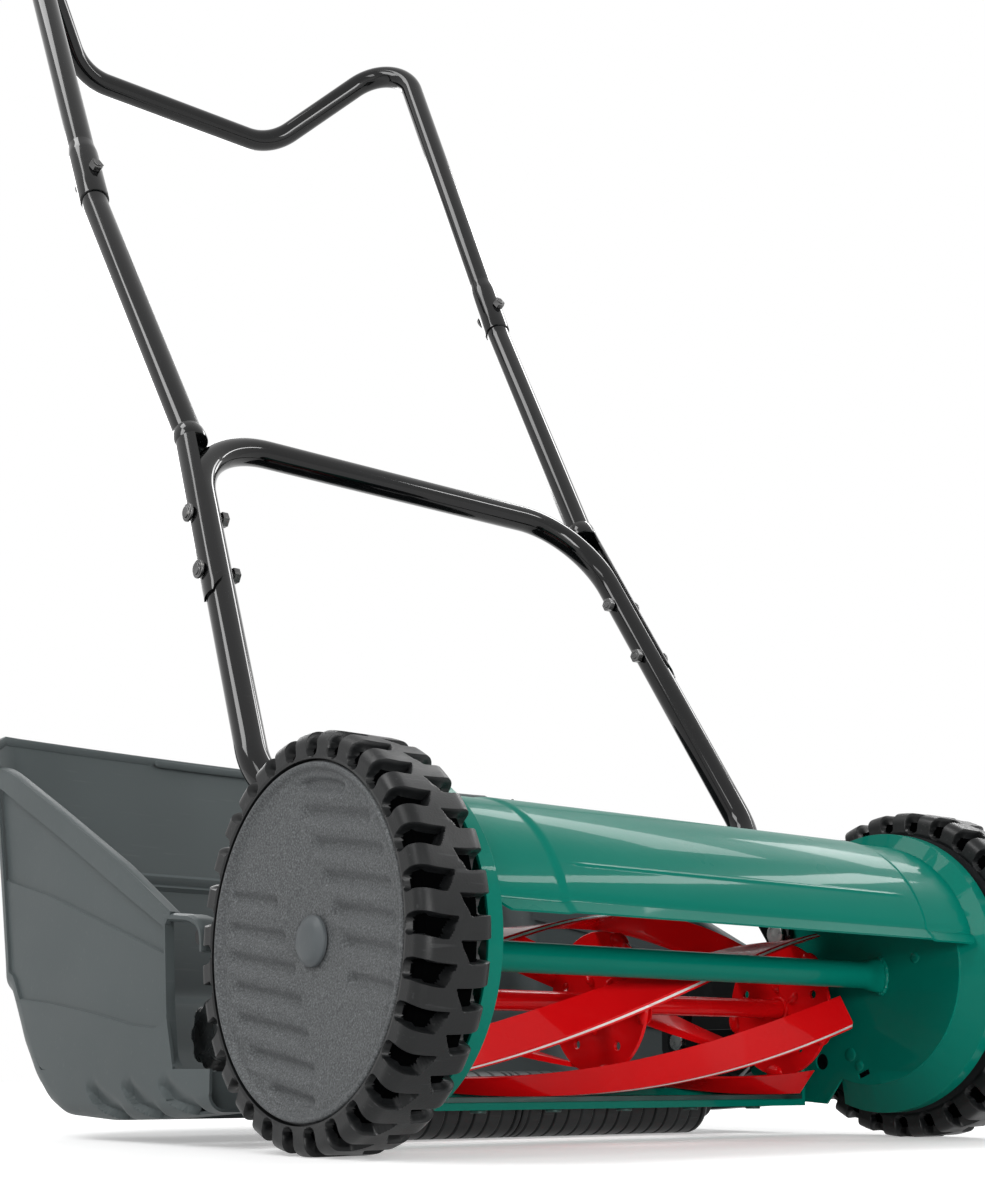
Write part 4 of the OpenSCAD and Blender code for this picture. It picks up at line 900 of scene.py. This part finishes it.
low_rows = np.linspace(0, 1, 20)[:, None]
low_y = np.linspace(120.5, 383, 230)[None, :]
low_base = np.interp(low_y, shoulder_line[:, 0], shoulder_line[:, 1])
low_z = low_base + low_rows * (np.maximum(48.9, low_base) - low_base)
low_grid = np.stack(np.broadcast_arrays(low_y, low_z), -1)
low_part = plated(low_grid, box_half,
                  louvred(low_grid[..., 0], low_grid[..., 1])
                  * (1 - smooth(low_grid[..., 0], 300, 320)))
rear_z = shoulder_line[:, 1]
climb = shoulder_line[(rear_z > 50) & (rear_z < 101) & (shoulder_line[:, 0] > 350)]
crease_low = [(181.3, 84), (185, 79.6), (190, 76.5), (198.9, 74.9), (230.6, 77.4),
              (294, 87.3), (374.2, 97.4), (431, 102)]
crease_high = [(186.5, 122.1), (239.5, 137.3), (299.4, 154.1), (381.8, 177.2), (467, 196.3)]
flange_low = [(188.5, 140.8), (251.2, 168.5), (357.6, 217.2), (481.6, 271.5), (491, 276)]
flange_high = [(179.6, 150.5), (252.6, 187.7), (359.4, 236.8), (484.1, 291.5), (507, 297.5)]


def ridge(line, low, high, width=2.2):
    """The rounded ledge along a line between a band whose face is at -low, below it, and one
    at -high, above it. Its face goes from one to the other as a cosine to the power 0.8."""
    base = spaced(line, 110, 4)
    run = np.linspace(0, 1, 9)[:, None]
    rise = base[:, 1] + width * (run - 0.5)
    out = high + (low - high) * np.cos(run * np.pi / 2) ** 0.8
    return thin_plate(laid(-out, base[:, 0], rise),
                      laid(-high + box_wall + 0.5, base[:, 0], rise))


side_parts = [
    corner_band, low_part,
    plated(to_corner(panel([(170, 48.9), (377, 48.9)] + climb.tolist(), crease_low, 14)),
           box_half),
    plated(to_corner(panel(crease_low, crease_high, 14)), middle_half),
    plated(to_corner(panel(crease_high, flange_low, 14)), upper_half),
    plated(panel(flange_low, flange_high, 5), 269.6, wall=3.4),
    ridge(crease_low, box_half, middle_half), ridge(crease_high, middle_half, upper_half)]
lip_run = spaced([(180, 149.2), (252.6, 187.7), (359.4, 236.8), (484.1, 292.5),
                  (507, 298), (526, 316)], 70, 3)
lip_in = np.linspace(0, 1, 7)[:, None]
lip_x = -269.9 + 9.4 * lip_in
lip_z = lip_run[:, 1] + 1.0 - 1.6 * (2 * lip_in - 1) ** 4
side_parts.append(thin_plate(laid(lip_x, lip_run[:, 0], lip_z),
                             laid(lip_x, lip_run[:, 0] + 0.8, lip_run[:, 1] - 2.2)))
nose = spaced([(190, 150.5), (177, 149.5), (155, 147.2), (143, 143.4), (136.5, 136.8),
               (134.4, 128), (134.2, 122)], 60, 5)
nose_way = unit(np.gradient(nose, axis=0))
nose_in = np.linspace(0, 1, 12)[:, None]
nose_t, nose_round = 5.6, 1.6 * (2 * nose_in - 1) ** 6
side_parts.append(thin_plate(*[
    laid(-269.8 + 17 * nose_in, nose[:, 0] - depth * nose_way[:, 1],
         nose[:, 1] + depth * nose_way[:, 0])
    for depth in (nose_round, nose_t - nose_round)]))
cut_edge = spaced([(188.2, 148), (182.6, 89.1), (176.4, 56.7), (170, 50.5)], 50, 4)
lip_depth = np.linspace(0, 1, 5)[:, None]
side_parts.append(thin_plate(*[
    laid(-269.7 + 6.5 * lip_depth, cut_edge[:, 0] + shift, cut_edge[:, 1])
    for shift in (-0.6, 1.6)]))
skirt_run = station[station[:, 0] < 221]
skirt_x = np.linspace(-box_half + 11, -237, 8)[:, None]
side_parts.append(thin_plate(*[
    laid(skirt_x, skirt_run[:, 0], skirt_run[:, 1] + depth) for depth in (0, box_wall)]))
inner_y = np.linspace(121.5, 218, 30)
inner_low = np.interp(inner_y, station[:, 0], station[:, 1]) + 0.6
skirt_rows = np.linspace(0, 1, 6)[:, None]
side_parts.append(thin_plate(*[
    laid(x, inner_y, inner_low + skirt_rows * (47.4 - inner_low))
    for x in (-238.4, -236.6)]))

rim_mid_y, rim_mid_z, rim_bend_r = 529.5, 319.6, 26
rim_turn = circle(28)
rim_y = 6.3 * np.sign(np.cos(rim_turn)) * np.abs(np.cos(rim_turn)) ** 0.7
rim_z = 5.1 * np.sign(np.sin(rim_turn)) * np.abs(np.sin(rim_turn)) ** 0.7
rim_x = np.concatenate([[-269.6, -269, -266], np.linspace(-250, 250, 41), [266, 269, 269.6]])
rim_fit = np.array([0.8, 0.94, 1] + [1] * 41 + [1, 0.94, 0.8])[:, None]
rim = laid(rim_x[:, None], rim_mid_y + rim_y * rim_fit, rim_mid_z + rim_z * rim_fit)
past_bend = np.clip(np.abs(rim[..., 0]) - (box_half - rim_bend_r), 0, 25.6)
rim[..., 1] -= rim_bend_r - np.sqrt(rim_bend_r ** 2 - past_bend ** 2)
slot_x = np.concatenate([[-116, -115, -112], np.linspace(-100, 100, 21), [112, 115, 116]])
slot_fit = np.array([0.2, 0.7, 1] + [1] * 21 + [1, 0.7, 0.2])[:, None]
hold = laid(slot_x[:, None], 521.6 + 1.6 * np.cos(rim_turn) * slot_fit,
            318.3 + 3.4 * np.sin(rim_turn) * slot_fit)
front_x = np.linspace(-238, 238, 40)
front_z = np.linspace(17, 44, 8)[:, None]
front_lip = [laid(front_x, y, front_z) for y in (217.2, 219.2)]
box_parts = [floor_sheet, capped_tube(rim), capped_tube(hold), thin_plate(*front_lip)]
box_parts += side_parts + [(points * flip, faces) for points, faces in side_parts]
rim_sag, sag_half, end_drop = 4.3, 285, 12
for points, faces in box_parts:
    high = smooth(points[:, 2], 270, 320) * smooth(points[:, 1], 440, 500)
    off_middle = np.abs(points[:, 0])
    points[:, 2] -= high * (rim_sag * (1 - (off_middle / sag_half) ** 2)
                            + end_drop * smooth(off_middle, 250, box_half))
formed("grass_box", "grass_box", "box_plastic", [box_plastic], box_parts, "grass_box",
       corner=32)
